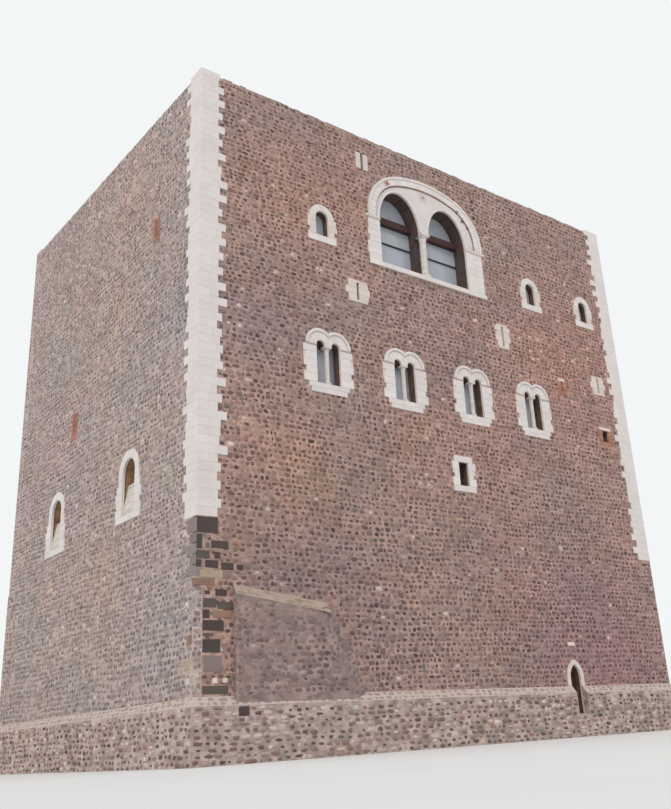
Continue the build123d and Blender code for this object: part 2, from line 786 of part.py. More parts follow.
def build_nodes():
    bifore = bifora_centres()
    small = [along_front(c) for c in SMALL_CENTRES]
    lancets = [along_side(c) for c in LANCET_CENTRES]
    nodes = {
        "rubble_footing": [footing()],
        "basalt_quoins": basalt_quoins(),
        "limestone_quoins": quoins(FIRST_FLOOR, HEIGHT, LIMESTONE_COURSE),
        "front_repair_facing": [repair_facing()],
        "postern_arch": [SIDES["front"] * postern_arch()],
        "ground_floor": [floor(GROUND_FLOOR, GROUND_FLOOR)],
        "first_floor": [floor(FIRST_FLOOR, SLAB)],
        "hall_floor": [floor(HALL_FLOOR, SLAB)],
        "upper_floor": [floor(UPPER_FLOOR, SLAB)],
        "roof_terrace": [floor(TERRACE, SLAB)],
    }
    for storey in STOREYS:
        for side in ("front", "back"):
            with_postern = side == "front" and storey == "ground"
            nodes[f"{side}_wall_{storey}"] = [SIDES[side] * long_wall(storey, with_postern)]
        if storey == "ground":
            nodes["side_walls_ground"] = on_short_walls([short_wall(storey)])
            continue
        for side in ("left", "right"):
            nodes[f"{side}_wall_{storey}"] = [SIDES[side] * short_wall(storey)]
    nodes["big_window_sills"] = on_long_walls([big_sill()])
    nodes["big_window_jambs"] = on_long_walls(big_jambs())
    nodes["big_window_arch_rings"] = on_long_walls([big_arch_ring()])
    nodes["big_window_tympana"] = on_long_walls(big_tympanum())
    nodes["big_window_columns"] = on_long_walls([big_column()])
    nodes["big_window_linings"] = on_long_walls([big_lining()])
    nodes["big_window_beams"] = on_long_walls(big_frame())
    nodes["bifora_sills"] = on_long_walls([bifora_sill(x) for x in bifore])
    nodes["bifora_jambs"] = on_long_walls([jamb for x in bifore for jamb in bifora_jambs(x)])
    nodes["bifora_heads"] = on_long_walls([bifora_head(x) for x in bifore])
    nodes["bifora_colonnettes"] = on_long_walls([bifora_colonnette(x) for x in bifore])
    nodes["small_window_surrounds"] = on_long_walls([small_window(x) for x in small] + [square_window()])
    lintels = [brick_lintel(b, along_front) for b in FRONT_BRICKS]
    nodes["slit_stones"] = on_long_walls([slit_surround(s) for s in SLITS] + slot_stones() + lintels)
    front_frames = [brick_frame(b, along_front) for b in FRONT_BRICKS]
    side_frames = [brick_frame(b, along_side) for b in LEFT_BRICKS]
    nodes["brick_window_frames"] = on_long_walls(front_frames) + on_short_walls(side_frames)
    nodes["lancet_surrounds"] = on_short_walls([lancet_surround(x) for x in lancets])
    nodes["lancet_sills"] = on_short_walls([lancet_sill(x) for x in lancets])
    nodes["lancet_linings"] = on_short_walls([lancet_lining(x) for x in lancets])
    nodes["upper_glass"] = on_long_walls([big_glass()] + [small_window_glass(x) for x in small])
    nodes["hall_glass"] = on_long_walls([bifora_glass(x) for x in bifore])
    nodes["first_glass"] = on_short_walls([lancet_glass(x) for x in lancets])
    return nodes


os.makedirs("parts", exist_ok=True)
for name, pieces in build_nodes().items():
    solids = [solid for piece in pieces for solid in piece.solids()]
    if len(solids) != len(pieces):
        raise ValueError(f"{name}: {len(pieces)} pieces gave {len(solids)} solids")
    shape = solids[0] if len(solids) == 1 else Compound(children=solids)
    export_step(shape, f"parts/{name}.step")
    print(name, len(solids))
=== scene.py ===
import math
from functools import partial
from itertools import pairwise

import bpy
import numpy as np
from mathutils import Matrix, Vector


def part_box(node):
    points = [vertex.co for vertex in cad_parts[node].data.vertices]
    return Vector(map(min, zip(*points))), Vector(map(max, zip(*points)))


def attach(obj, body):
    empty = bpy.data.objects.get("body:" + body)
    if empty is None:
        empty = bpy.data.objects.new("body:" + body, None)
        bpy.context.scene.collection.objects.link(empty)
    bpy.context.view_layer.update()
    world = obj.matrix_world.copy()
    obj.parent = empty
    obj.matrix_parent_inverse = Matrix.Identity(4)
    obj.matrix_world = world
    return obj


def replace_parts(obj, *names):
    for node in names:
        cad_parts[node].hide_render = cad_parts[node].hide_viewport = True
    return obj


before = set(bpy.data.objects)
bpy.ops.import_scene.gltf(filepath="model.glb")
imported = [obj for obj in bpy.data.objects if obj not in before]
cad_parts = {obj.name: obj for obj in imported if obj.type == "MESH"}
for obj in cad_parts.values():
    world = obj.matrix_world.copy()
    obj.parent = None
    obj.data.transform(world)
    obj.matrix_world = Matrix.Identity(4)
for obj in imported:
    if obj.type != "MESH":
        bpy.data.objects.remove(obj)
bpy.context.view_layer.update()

# Castle keep: every stone, brick and finish, laid over the solids of the frame, in metres.
# Each outer face has u to the right and v up as seen from outside, and w outward.

HALF_WIDTH = 12.15
HALF_DEPTH = 9.0
WALL = 2.2
WALL_TOP = 25.45
CAP_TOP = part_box("limestone_quoins")[1].z
LIMESTONE_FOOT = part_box("limestone_quoins")[0].z
FOOTING_SHOULDER = 1.70
FOOTING_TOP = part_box("rubble_footing")[1].z
FOOTING_PROUD = 0.30
FOOTING_STONE = 0.035
PROUD = 0.03
CLAD = 0.012
SURFACE = PROUD + CLAD
RAISED = 2 * PROUD + CLAD
JOINT = 0.007
TOOTH = 0.11

# Colours, as linear values
MORTAR_FRONT = (0.500, 0.326, 0.278)
MORTAR_SIDE = (0.536, 0.416, 0.394)
STONES_FRONT = (
    ((0.122, 0.080, 0.076), 0.20), ((0.185, 0.118, 0.107), 0.27), ((0.262, 0.150, 0.120), 0.10),
    ((0.215, 0.158, 0.138), 0.15), ((0.34, 0.235, 0.200), 0.28),
)
STONES_SIDE = (
    ((0.205, 0.155, 0.142), 0.22), ((0.30, 0.228, 0.212), 0.32), ((0.36, 0.262, 0.228), 0.14),
    ((0.29, 0.245, 0.235), 0.12), ((0.45, 0.355, 0.318), 0.20),
)
STONES_FOOTING = (
    ((0.125, 0.086, 0.080), 0.24), ((0.21, 0.142, 0.126), 0.32), ((0.30, 0.175, 0.138), 0.13),
    ((0.29, 0.228, 0.205), 0.13), ((0.52, 0.41, 0.360), 0.18),
)
PALE_CHIP = (0.66, 0.56, 0.50)
LIMESTONE = (0.745, 0.682, 0.663)
LIMESTONE_WARM = (0.72, 0.62, 0.56)
DARK_BLOCK = (0.072, 0.052, 0.050)
OLIVE_BLOCK = (0.112, 0.088, 0.074)
ORANGE_BLOCK = (0.30, 0.175, 0.130)
OCHRE_BLOCK = (0.40, 0.30, 0.225)
BROWN_BLOCK = (0.27, 0.205, 0.19)
GREY_BLOCK = (0.255, 0.205, 0.190)
BRICK = (0.43, 0.19, 0.130)
PINK_LINE = (0.50, 0.34, 0.29)
FAINT_LINE = (0.62, 0.51, 0.46)
GROOVE_BROWN = (0.40, 0.235, 0.185)
RUST = (0.30, 0.10, 0.04)
BLACK = (0.0, 0.0, 0.0)

rng = np.random.default_rng(11)


# Faces and their masks

CELL = 0.02


class Face:
    """A flat face, with a map of where rubble may be laid: 1 on the wall, 2 on the dark corner piers,
    which stand proud of it, and 0 where dressed stones lie."""

    def __init__(self, origin, right, up, width, height):
        self.origin = np.array(origin, float)
        self.right = np.array(right, float)
        self.up = np.array(up, float)
        self.out = np.cross(self.right, self.up)
        self.half = width / 2
        self.free = np.zeros((round(height / CELL), round(width / CELL)), np.int8)

    def place(self, u, v, w):
        """Points of the face's own frame in the frame of the keep."""
        u, v, w = np.broadcast_arrays(*(np.asarray(a, float) for a in (u, v, w)))
        return self.origin + u[..., None] * self.right + v[..., None] * self.up + w[..., None] * self.out

    def paint(self, triangle, value):
        """Sets the map's cells whose middle lies in a triangle of (u, v) points."""
        rows, columns = self.free.shape
        low = np.floor((triangle.min(0) + (self.half, 0)) / CELL).astype(int).clip(0)
        high = np.ceil((triangle.max(0) + (self.half, 0)) / CELL).astype(int)
        high = np.minimum(high, (columns, rows))
        if (high <= low).any():
            return
        u = (np.arange(low[0], high[0]) + 0.5) * CELL - self.half
        v = (np.arange(low[1], high[1]) + 0.5) * CELL
        uu, vv = np.meshgrid(u, v)
        signs = []
        for a, b in zip(triangle, np.roll(triangle, -1, axis=0)):
            signs.append((b[0] - a[0]) * (vv - a[1]) - (b[1] - a[1]) * (uu - a[0]))
        inside = (np.min(signs, axis=0) >= 0) | (np.max(signs, axis=0) <= 0)
        self.free[low[1]:high[1], low[0]:high[0]][inside] = value

    def paint_node(self, node, value):
        """Sets the cells under a node's triangles that lie on this face or stand out of it."""
        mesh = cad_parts[node].data
        mesh.calc_loop_triangles()
        points = np.array([v.co for v in mesh.vertices], float) - self.origin
        u, v, w = points @ self.right, points @ self.up, points @ self.out
        for triangle in mesh.loop_triangles:
            index = list(triangle.vertices)
            if w[index].min() > -0.002:
                self.paint(np.column_stack((u[index], v[index])), value)

    def paint_outline(self, outline):
        """Clears the cells under a convex outline, which holds a dressed stone."""
        for i in range(1, len(outline) - 1):
            self.paint(outline[[0, i, i + 1]], 0)

    def level(self, u, v):
        """The map's value at each point, 0 outside it."""
        rows, columns = self.free.shape
        i = np.floor(v / CELL).astype(int)
        j = np.floor((u + self.half) / CELL).astype(int)
        inside = (i >= 0) & (i < rows) & (j >= 0) & (j < columns)
        return inside * self.free[i.clip(0, rows - 1), j.clip(0, columns - 1)]


FACES = {
    "front": Face((0, -HALF_DEPTH, 0), (1, 0, 0), (0, 0, 1), 2 * HALF_WIDTH, WALL_TOP),
    "back": Face((0, HALF_DEPTH, 0), (-1, 0, 0), (0, 0, 1), 2 * HALF_WIDTH, WALL_TOP),
    "left": Face((-HALF_WIDTH, 0, 0), (0, -1, 0), (0, 0, 1), 2 * HALF_DEPTH, WALL_TOP),
    "right": Face((HALF_WIDTH, 0, 0), (0, 1, 0), (0, 0, 1), 2 * HALF_DEPTH, WALL_TOP),
}
LONG = ("front", "back")
SHORT = ("left", "right")
DRESSINGS = (
    "rubble_footing", "front_repair_facing", "postern_arch",
    "big_window_sills", "big_window_jambs", "big_window_arch_rings", "big_window_tympana",
    "bifora_sills", "bifora_jambs", "bifora_heads", "small_window_surrounds", "slit_stones",
    "brick_window_frames", "lancet_surrounds",
)


def prepare_faces():
    for face in FACES.values():
        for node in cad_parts:
            if "_wall" in node:
                face.paint_node(node, 1)
        face.paint_node("basalt_quoins", 2)
        face.paint_node("limestone_quoins", 1)
        for node in DRESSINGS:
            face.paint_node(node, 0)


# Meshes

def add_object(name, data):
    made = bpy.data.objects.new(name, data)
    bpy.context.scene.collection.objects.link(made)
    return made


def band(n, start=0):
    """Faces between a ring of n points and the next ring."""
    return [[start + i, start + (i + 1) % n, start + n + (i + 1) % n, start + n + i] for i in range(n)]


class Piece:
    """A mesh gathered stone by stone, with a colour at each vertex."""

    def __init__(self):
        self.points, self.faces, self.colours = [], [], []
        self.count = 0

    def add(self, points, faces, colours):
        """points is (n, 3); faces hold indices into it; colours is one colour or one for each point."""
        self.points.append(points)
        self.faces.extend([[i + self.count for i in f] for f in faces])
        self.colours.append(np.broadcast_to(colours, (len(points), 3)))
        self.count += len(points)

    def finish(self, name, material, slot, smooth=False):
        mesh = bpy.data.meshes.new(name)
        mesh.from_pydata(np.concatenate(self.points).tolist(), [], self.faces)
        colour = np.concatenate(self.colours)
        rgba = np.column_stack((colour, np.ones(len(colour)))).astype(np.float32)
        layer = mesh.color_attributes.new("stone", "FLOAT_COLOR", "POINT")
        layer.data.foreach_set("color", rgba.ravel())
        mesh.materials.append(material)
        if smooth:
            mesh.shade_smooth()
        mesh.validate()
        obj = add_object(name, mesh)
        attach(obj, "root")
        return obj


def around(angles):
    """Unit vectors at some angles."""
    return np.column_stack((np.cos(angles), np.sin(angles)))


def inset(outline, distance):
    """A convex outline, anticlockwise, moved inward by a distance."""
    edge = np.roll(outline, -1, axis=0) - outline
    normal = np.column_stack((edge[:, 1], -edge[:, 0]))
    normal /= np.linalg.norm(normal, axis=1)[:, None]
    before = np.roll(normal, 1, axis=0)
    share = 1 + (normal * before).sum(1)
    return outline - distance * (normal + before) / share[:, None]


def split(start, end, length, spread=0.3):
    """Cuts a stretch into uneven stones of about one length."""
    count = max(1, round(abs(end - start) / length))
    share = rng.uniform(1 - spread, 1 + spread, count)
    marks = np.concatenate(([0], np.cumsum(share))) / share.sum()
    return list(start + marks * (end - start))


class Dressing:
    """Lays dressed stones of one piece on one face, and clears the face's map under them."""

    def __init__(self, piece, face):
        self.piece, self.face = piece, face

    def block(self, outline, colour, near=0.0, far=SURFACE, chamfer=0.008, vary=0.06, joint=JOINT):
        """One stone: a convex outline of (u, v) points from w = near, inside, out to w = far."""
        outline = np.asarray(outline, float)
        if np.cross(outline, np.roll(outline, -1, axis=0)).sum() < 0:
            outline = outline[::-1]
        self.face.paint_outline(outline)
        shrunk = inset(outline, joint / 2)
        front = inset(shrunk, chamfer)
        far = far + rng.uniform(-0.003, 0.003)
        rings = ((shrunk, near), (shrunk, far - chamfer), (front, far))
        points = np.concatenate([self.face.place(ring[:, 0], ring[:, 1], w) for ring, w in rings])
        n = len(outline)
        shade = np.array(colour) * (1 + rng.uniform(-vary, vary)) * (1 + rng.uniform(-vary, vary, 3) * 0.3)
        self.piece.add(points, band(n) + band(n, n) + [list(range(2 * n, 3 * n))], shade.clip(0, 1))

    def box(self, u0, u1, v0, v1, colour, **options):
        self.block([(u0, v0), (u1, v0), (u1, v1), (u0, v1)], colour, **options)

    def row(self, u0, u1, v0, v1, length, colour, **options):
        for a, b in pairwise(split(u0, u1, length)):
            self.box(a, b, v0, v1, colour, **options)

    def arc(self, centre, inner, outer, start, end, count, colour, **options):
        """Voussoirs between two radii and two angles, in degrees."""
        for a, b in pairwise(np.linspace(start, end, count + 1)):
            edge = around(np.radians(np.linspace(a, b, 3)))
            outline = np.concatenate((centre + outer * edge, centre + inner * edge[::-1]))
            self.block(outline, colour, **options)

    def toothed(self, centre, inner, outer, bottom, top, course, colour, long_first=True):
        """Jamb stones on both sides of an opening, long and short by turns."""
        count = max(2, round((top - bottom) / course))
        step = (top - bottom) / count
        for i in range(count):
            low = bottom + i * step
            long = (i % 2 == 0) == long_first
            for hand in (-1, 1):
                reach = outer + (TOOTH if long else 0) + rng.uniform(-0.01, 0.05)
                self.box(centre + hand * inner, centre + hand * reach, low, low + step, colour)


# Rubble walling

SIDES_OF_STONE = 6
SMALLEST_STONE = 0.0016
SUNK = 0.004


def waves(u, v, seed, scale):
    """Smooth variation between about -1 and 1 over a face."""
    local = np.random.default_rng(seed)
    total = np.zeros_like(u)
    for _ in range(6):
        angle = local.uniform(0, 2 * math.pi)
        length = scale * local.uniform(0.5, 1.8)
        phase = local.uniform(0, 2 * math.pi)
        total += np.sin(2 * math.pi * (u * math.cos(angle) + v * math.sin(angle)) / length + phase)
    return total / 3


# Broad patches of another hue: u and v of the middle, radius, tint
FRONT_PATCHES = (
    (8.5, 17.0, 4.5, (1.16, 0.92, 0.88)), (-0.5, 16.6, 3.2, (0.92, 0.86, 0.97)),
    (-9.6, 15.2, 1.8, (0.86, 0.88, 1.02)), (-6.5, 21.8, 3.5, (1.12, 0.98, 0.90)),
    (-4.0, 8.6, 5.0, (1.0, 1.0, 0.96)), (7.5, 3.5, 4.5, (0.82, 0.66, 0.88)),
    (-4.0, 4.5, 5.0, (0.95, 0.97, 1.02)), (-8.5, 9.2, 2.4, (1.10, 0.98, 0.88)),
    (1.5, 11.2, 3.0, (1.05, 0.92, 0.92)), (-7.4, 6.0, 1.8, (0.84, 0.85, 0.95)),
    (-4.6, 3.6, 1.6, (0.82, 0.82, 0.92)),
)
SIDE_PATCHES = (
    (7.4, 14.8, 2.6, (0.86, 0.93, 1.02)), (6.5, 4.0, 3.2, (0.86, 0.94, 1.02)),
    (1.0, 21.5, 6.0, (1.04, 0.97, 0.88)), (-4.0, 13.0, 4.0, (1.0, 0.95, 0.97)),
    (1.5, 6.2, 3.0, (1.08, 0.99, 0.90)),
)
# Single pale stones of the front: u and v
PALE_STONES = (
    (-10.3, 16.2), (-8.9, 17.4), (-6.7, 18.0), (-10.4, 14.8), (-11.0, 14.8), (-11.1, 12.9), (-8.9, 14.1),
    (-7.5, 13.0), (7.9, 19.3), (9.2, 20.7), (7.9, 20.8), (4.7, 17.6), (5.5, 17.8), (6.0, 17.8), (5.6, 16.7),
    (6.0, 16.8), (7.8, 17.2), (8.6, 17.2), (4.1, 16.6),
)


def tint(u, v, patches):
    """The product of the patches' hues at each point, strongest at their middles."""
    colour = np.ones((len(u), 3))
    for cu, cv, radius, shade in patches:
        share = np.exp(-((u - cu) ** 2 + (v - cv) ** 2) / radius ** 2)[:, None]
        colour *= 1 + 0.8 * share * (np.array(shade) - 1)
    return colour


def stone_colours(u, v, draw, shades, chips, seed, patches=()):
    """A shade for each stone by its draw from 0 to 1, dark kinds first, with patches and a few pale chips."""
    kinds = np.array([s for s, _ in shades])
    bounds = np.cumsum([w for _, w in shades])[:-1]
    colour = kinds[np.searchsorted(bounds, draw)]
    colour = colour * rng.uniform(0.80, 1.22, (len(u), 1)) * tint(u, v, patches)
    red = waves(u, v, seed, 5.0)[:, None]
    light = waves(u, v, seed + 1, 3.0)[:, None]
    colour = colour * (1 + 0.10 * light) * (1 + 0.07 * red * np.array((1.0, -0.2, -0.5)))
    pale = rng.random(len(u)) < chips * (1.2 + waves(u, v, seed + 2, 1.6)).clip(0.1)
    colour[pale] = np.array(PALE_CHIP) * rng.uniform(0.75, 1.1, (pale.sum(), 1))
    return colour.clip(0, 1)


def rubble_cells(u0, u1, v0, v1, pitch, course):
    """Uneven courses of uneven stones: middle and size of each."""
    cells = []
    v = v0
    while v < v1 - 0.4 * course:
        height = min(course * rng.uniform(0.82, 1.2), v1 - v)
        share = rng.uniform(0.62, 1.4, int((u1 - u0) / pitch * 1.05) + 2)
        edges = u0 + np.concatenate(([0], np.cumsum(share * pitch)))
        edges = edges[edges < u1 + 0.5 * pitch]
        edges[-1] = u1
        middle = (edges[1:] + edges[:-1]) / 2
        same = np.ones(len(middle))
        cells.append(np.column_stack((middle, same * (v + height / 2), np.diff(edges), same * height)))
        v += height
    return np.concatenate(cells)


def within(half, low, high):
    """A test for points less than half a width from the middle of a face and between two levels."""
    return lambda u, v: (np.abs(u) < half) & (v > low) & (v < high)


def lay_rubble(piece, face, area, pitch, course, colours, base=0.0, proud=(0.010, 0.028), fill=(0.52, 1.04),
               allowed=None):
    """Rounded stones bedded in the mortar of a face, wherever its map, or a test in its place, lets them."""
    cells = rubble_cells(*area, pitch, course)
    n = len(cells)
    u = cells[:, 0] + rng.uniform(-0.03, 0.03, n)
    v = cells[:, 1] + rng.uniform(-0.14, 0.14, n) * course + 0.06 * waves(cells[:, 0], cells[:, 1], 5, 6.0)
    draw = rng.random(n)
    size = fill[0] + (fill[1] - fill[0]) * (0.5 * draw + 0.5 * rng.random(n))[:, None]
    half_u = cells[:, 2:3] / 2 * size * rng.uniform(0.85, 1.25, (n, 1))
    half_v = cells[:, 3:4] / 2 * size * rng.uniform(0.85, 1.15, (n, 1))
    step = 2 * math.pi / SIDES_OF_STONE
    turn = step * (np.arange(SIDES_OF_STONE) + rng.uniform(-0.3, 0.3, (n, SIDES_OF_STONE)))
    turn = turn + rng.uniform(0, step, (n, 1))
    reach = rng.uniform(0.72, 1.16, (n, SIDES_OF_STONE))
    power = rng.uniform(0.55, 0.95, (n, 1))
    ring_u = np.sign(np.cos(turn)) * np.abs(np.cos(turn)) ** power * half_u * reach
    ring_v = np.sign(np.sin(turn)) * np.abs(np.sin(turn)) ** power * half_v * reach
    test = allowed or face.level
    own = test(u, v)

    def blocked():
        return test(u[:, None] + ring_u, v[:, None] + ring_v) != own[:, None]

    for _ in range(6):
        shrink = np.where(blocked(), 0.78, 1.0)
        ring_u, ring_v = ring_u * shrink, ring_v * shrink
    small = np.abs(ring_u).max(1) * np.abs(ring_v).max(1) < SMALLEST_STONE
    keep = (own > 0) & ~blocked().any(1) & ~small
    u, v, ring_u, ring_v, own, draw = (a[keep] for a in (u, v, ring_u, ring_v, own, draw))
    n = len(u)
    height = rng.uniform(*proud, (n, 1))
    tilt_u = rng.uniform(-0.25, 0.25, (n, 1))
    tilt_v = rng.uniform(-0.25, 0.25, (n, 1))
    taper = rng.uniform(0.66, 0.84, (n, 1))
    size = np.abs(ring_u).max(1, keepdims=True)
    top = height * (1 + tilt_u * ring_u / size + tilt_v * ring_v / size).clip(0.5, 1.0)
    level = base + PROUD * (own == 2)[:, None]
    points = np.concatenate((
        face.place(u[:, None] + ring_u, v[:, None] + ring_v, level - SUNK),
        face.place(u[:, None] + ring_u * taper, v[:, None] + ring_v * taper, level + top),
    ), axis=1)
    k = SIDES_OF_STONE
    start = piece.count + 2 * k * np.arange(n)[:, None]
    for f in band(k) + [list(range(k, 2 * k))]:
        piece.faces.extend((start + np.array(f)).tolist())
    piece.points.append(points.reshape(-1, 3))
    piece.colours.append(np.repeat(colours(u, v, draw), 2 * k, axis=0))
    piece.count += 2 * k * n


# Materials

class Nodes:
    """A node tree, with short ways to add to it."""

    def __init__(self, tree):
        self.tree = tree

    def node(self, kind, **settings):
        node = self.tree.nodes.new(kind)
        for key, value in settings.items():
            if hasattr(node, key):
                setattr(node, key, value)
            else:
                self.set(node.inputs[key.replace("_", " ")], value)
        return node

    def set(self, socket, value):
        if isinstance(value, bpy.types.NodeSocket):
            self.tree.links.new(value, socket)
        elif isinstance(value, tuple) and len(value) == 3 and socket.type == "RGBA":
            socket.default_value = (*value, 1)
        else:
            socket.default_value = value

    def calculate(self, kind, operation, *values):
        node = self.node(kind, operation=operation)
        for socket, value in zip(node.inputs, values):
            self.set(socket, value)
        return node.outputs

    def math(self, operation, *values):
        return self.calculate("ShaderNodeMath", operation, *values)[0]

    def vector(self, operation, *values):
        return self.calculate("ShaderNodeVectorMath", operation, *values)

    def spread(self, value, low, high, to_low=0.0, to_high=1.0):
        found = self.node("ShaderNodeMapRange", Value=value)
        for key, number in (("From Min", low), ("From Max", high), ("To Min", to_low), ("To Max", to_high)):
            found.inputs[key].default_value = number
        return found.outputs[0]


class Shader(Nodes):
    """A node material with what a stone surface needs."""

    def __init__(self, name, roughness, **inputs):
        self.material = bpy.data.materials.new(name)
        self.material.use_nodes = True
        super().__init__(self.material.node_tree)
        self.surface = self.tree.nodes["Principled BSDF"]
        self.surface.inputs["Roughness"].default_value = roughness
        for key, value in inputs.items():
            self.surface.inputs[key.replace("_", " ")].default_value = value
        self.place = self.tree.nodes.new("ShaderNodeTexCoord").outputs["Object"]

    def stretch(self, x, y, z):
        """Coordinates scaled along each axis."""
        return self.node("ShaderNodeMapping", Vector=self.place, Scale=(x, y, z)).outputs[0]

    def noise(self, scale, detail=4.0, roughness=0.6, at=None):
        found = self.node("ShaderNodeTexNoise", Vector=at or self.place, Scale=scale, Detail=detail,
                          Roughness=roughness)
        return found.outputs["Fac"]

    def stones(self):
        """Cells of about the size of a rubble stone: each one's random colour, and distances within it."""
        cells = self.node("ShaderNodeTexVoronoi", Vector=self.stretch(4.2, 4.2, 5.6), Scale=1.0)
        parts = self.node("ShaderNodeSeparateColor", Color=cells.outputs["Color"])
        return parts.outputs, cells.outputs["Distance"]

    def mix(self, share, a, b, blend="MIX"):
        node = self.tree.nodes.new("ShaderNodeMix")
        node.data_type = "RGBA"
        node.blend_type = blend
        self.set(node.inputs[0], share)
        self.set(node.inputs[6], a)
        self.set(node.inputs[7], b)
        return node.outputs[2]

    def times(self, base, factor):
        return self.mix(1.0, base, factor, "MULTIPLY")

    def grey(self, value):
        """A colour to multiply by, from a number."""
        return self.node("ShaderNodeCombineColor", Red=value, Green=value, Blue=value).outputs[0]

    def shade(self, base, value, low, high, dark, light):
        """Multiplies a colour by a number that runs from dark to light as the value does from low to high."""
        return self.times(base, self.grey(self.spread(value, low, high, dark, light)))

    def part(self, source, axis):
        """One coordinate of a place or normal."""
        return self.node("ShaderNodeSeparateXYZ", Vector=source).outputs[axis]

    def geometry(self, name):
        return self.node("ShaderNodeNewGeometry").outputs[name]

    def recess_shade_share(self, depth):
        """Share that is 1 farther in than a depth behind the outer faces: where the openings' painted shade
        goes.
        """
        x = self.math("LESS_THAN", self.math("ABSOLUTE", self.part(self.place, "X")), HALF_WIDTH - depth)
        y = self.math("LESS_THAN", self.math("ABSOLUTE", self.part(self.place, "Y")), HALF_DEPTH - depth)
        return self.math("MULTIPLY", x, y)

    def spot(self, base, colour, x, z, radius, strength=1.0):
        """A stain on a long wall, through all depths, with a ragged edge."""
        rough = self.node("ShaderNodeTexNoise", Vector=self.place, Scale=9.0, Detail=3.0).outputs["Color"]
        flat = self.stretch(1.0, 0.0, 1.0)
        ragged = self.vector("MULTIPLY_ADD", rough, (1.2 * radius, 0.0, 1.2 * radius), flat)[0]
        half = 0.6 * radius
        away = self.vector("DISTANCE", ragged, (x + half, 0.0, z + half))["Value"]
        return self.mix(self.spread(away, 0.15 * radius, 1.1 * radius, strength, 0.0), base, colour)

    def patch(self, base, shade, along, z, radius, side):
        """A broad change of hue with soft edges, in the plane of the short walls or of the long ones."""
        flat = self.stretch(0.0, 1.0, 1.0) if side else self.stretch(1.0, 0.0, 1.0)
        middle = (0.0, -along, z) if side else (along, 0.0, z)
        away = self.vector("DISTANCE", flat, middle)["Value"]
        share = self.spread(away, 0.2 * radius, 1.4 * radius, 0.55, 0.0)
        return self.mix(share, base, self.times(base, shade))

    def colour(self, value):
        self.set(self.surface.inputs["Base Color"], value)

    def bump(self, height, strength, distance):
        previous = self.surface.inputs["Normal"]
        node = self.node("ShaderNodeBump", Height=height, Strength=strength, Distance=distance)
        if previous.is_linked:
            self.tree.links.new(previous.links[0].from_socket, node.inputs["Normal"])
        self.set(previous, node.outputs[0])


def mortar(name):
    """Rough lime mortar, browner on the long walls, mottled stone by stone, with grit and broad stains."""
    s = Shader(name, 0.95)
    side = s.math("GREATER_THAN", s.math("ABSOLUTE", s.part(s.geometry("True Normal"), "X")), 0.5)
    base = s.mix(side, MORTAR_FRONT, MORTAR_SIDE)
    broad = s.spread(s.noise(0.22), 0.40, 0.62, 0.0, 0.7)
    base = s.mix(broad, base, s.mix(side, (0.358, 0.260, 0.245), (0.43, 0.375, 0.365)))
    warm = s.spread(s.noise(0.35, 3.0, 0.5, s.stretch(1.0, 1.0, 1.6)), 0.52, 0.66, 0.0, 0.6)
    base = s.mix(warm, base, s.mix(side, (0.44, 0.275, 0.205), (0.52, 0.42, 0.35)))
    of_long, of_side = base, base
    for u, v, radius, shade in FRONT_PATCHES:
        of_long = s.patch(of_long, shade, u, v, radius, False)
    for u, v, radius, shade in SIDE_PATCHES:
        of_side = s.patch(of_side, shade, u, v, radius, True)
    colours, distance = s.stones()
    base = s.shade(s.mix(side, of_long, of_side), colours[0], 0.0, 1.0, 0.70, 1.14)
    cores = s.math("MULTIPLY", s.spread(distance, 0.12, 0.42, 0.5, 0.0), colours[1])
    base = s.mix(cores, base, s.mix(side, (0.13, 0.09, 0.08), (0.24, 0.19, 0.175)))
    fine = s.noise(11.0, 6.0)
    base = s.shade(base, fine, 0.3, 0.7, 0.80, 1.16)
    s.colour(s.shade(base, s.noise(70.0, 3.0), 0.3, 0.7, 0.86, 1.12))
    s.bump(fine, 0.5, 0.02)
    s.bump(s.noise(90.0, 2.0), 0.35, 0.004)
    return s.material


def laid_stone(name, roughness, contrast, pits, bump, stains=()):
    """Takes each stone's own colour and adds grain, pits, broad changes and single stains."""
    s = Shader(name, roughness)
    own = s.node("ShaderNodeVertexColor", layer_name="stone").outputs[0]
    base = s.shade(own, s.noise(22.0, 6.0, 0.7), 0.28, 0.72, 1 - contrast, 1 + contrast)
    base = s.shade(base, s.noise(1.3), 0.3, 0.7, 1 - 0.5 * contrast, 1 + 0.4 * contrast)
    for mark in stains:
        base = s.spot(base, *mark)
    cells = s.node("ShaderNodeTexVoronoi", Vector=s.place, Scale=60.0).outputs["Distance"]
    s.colour(s.mix(s.spread(cells, 0.06, 0.2, pits, 0.0), base, BLACK))
    s.bump(s.noise(14.0, 6.0, 0.7), bump, 0.02)
    s.bump(s.spread(cells, 0.08, 0.28), 0.4 * pits + 0.05, 0.004)
    return s.material


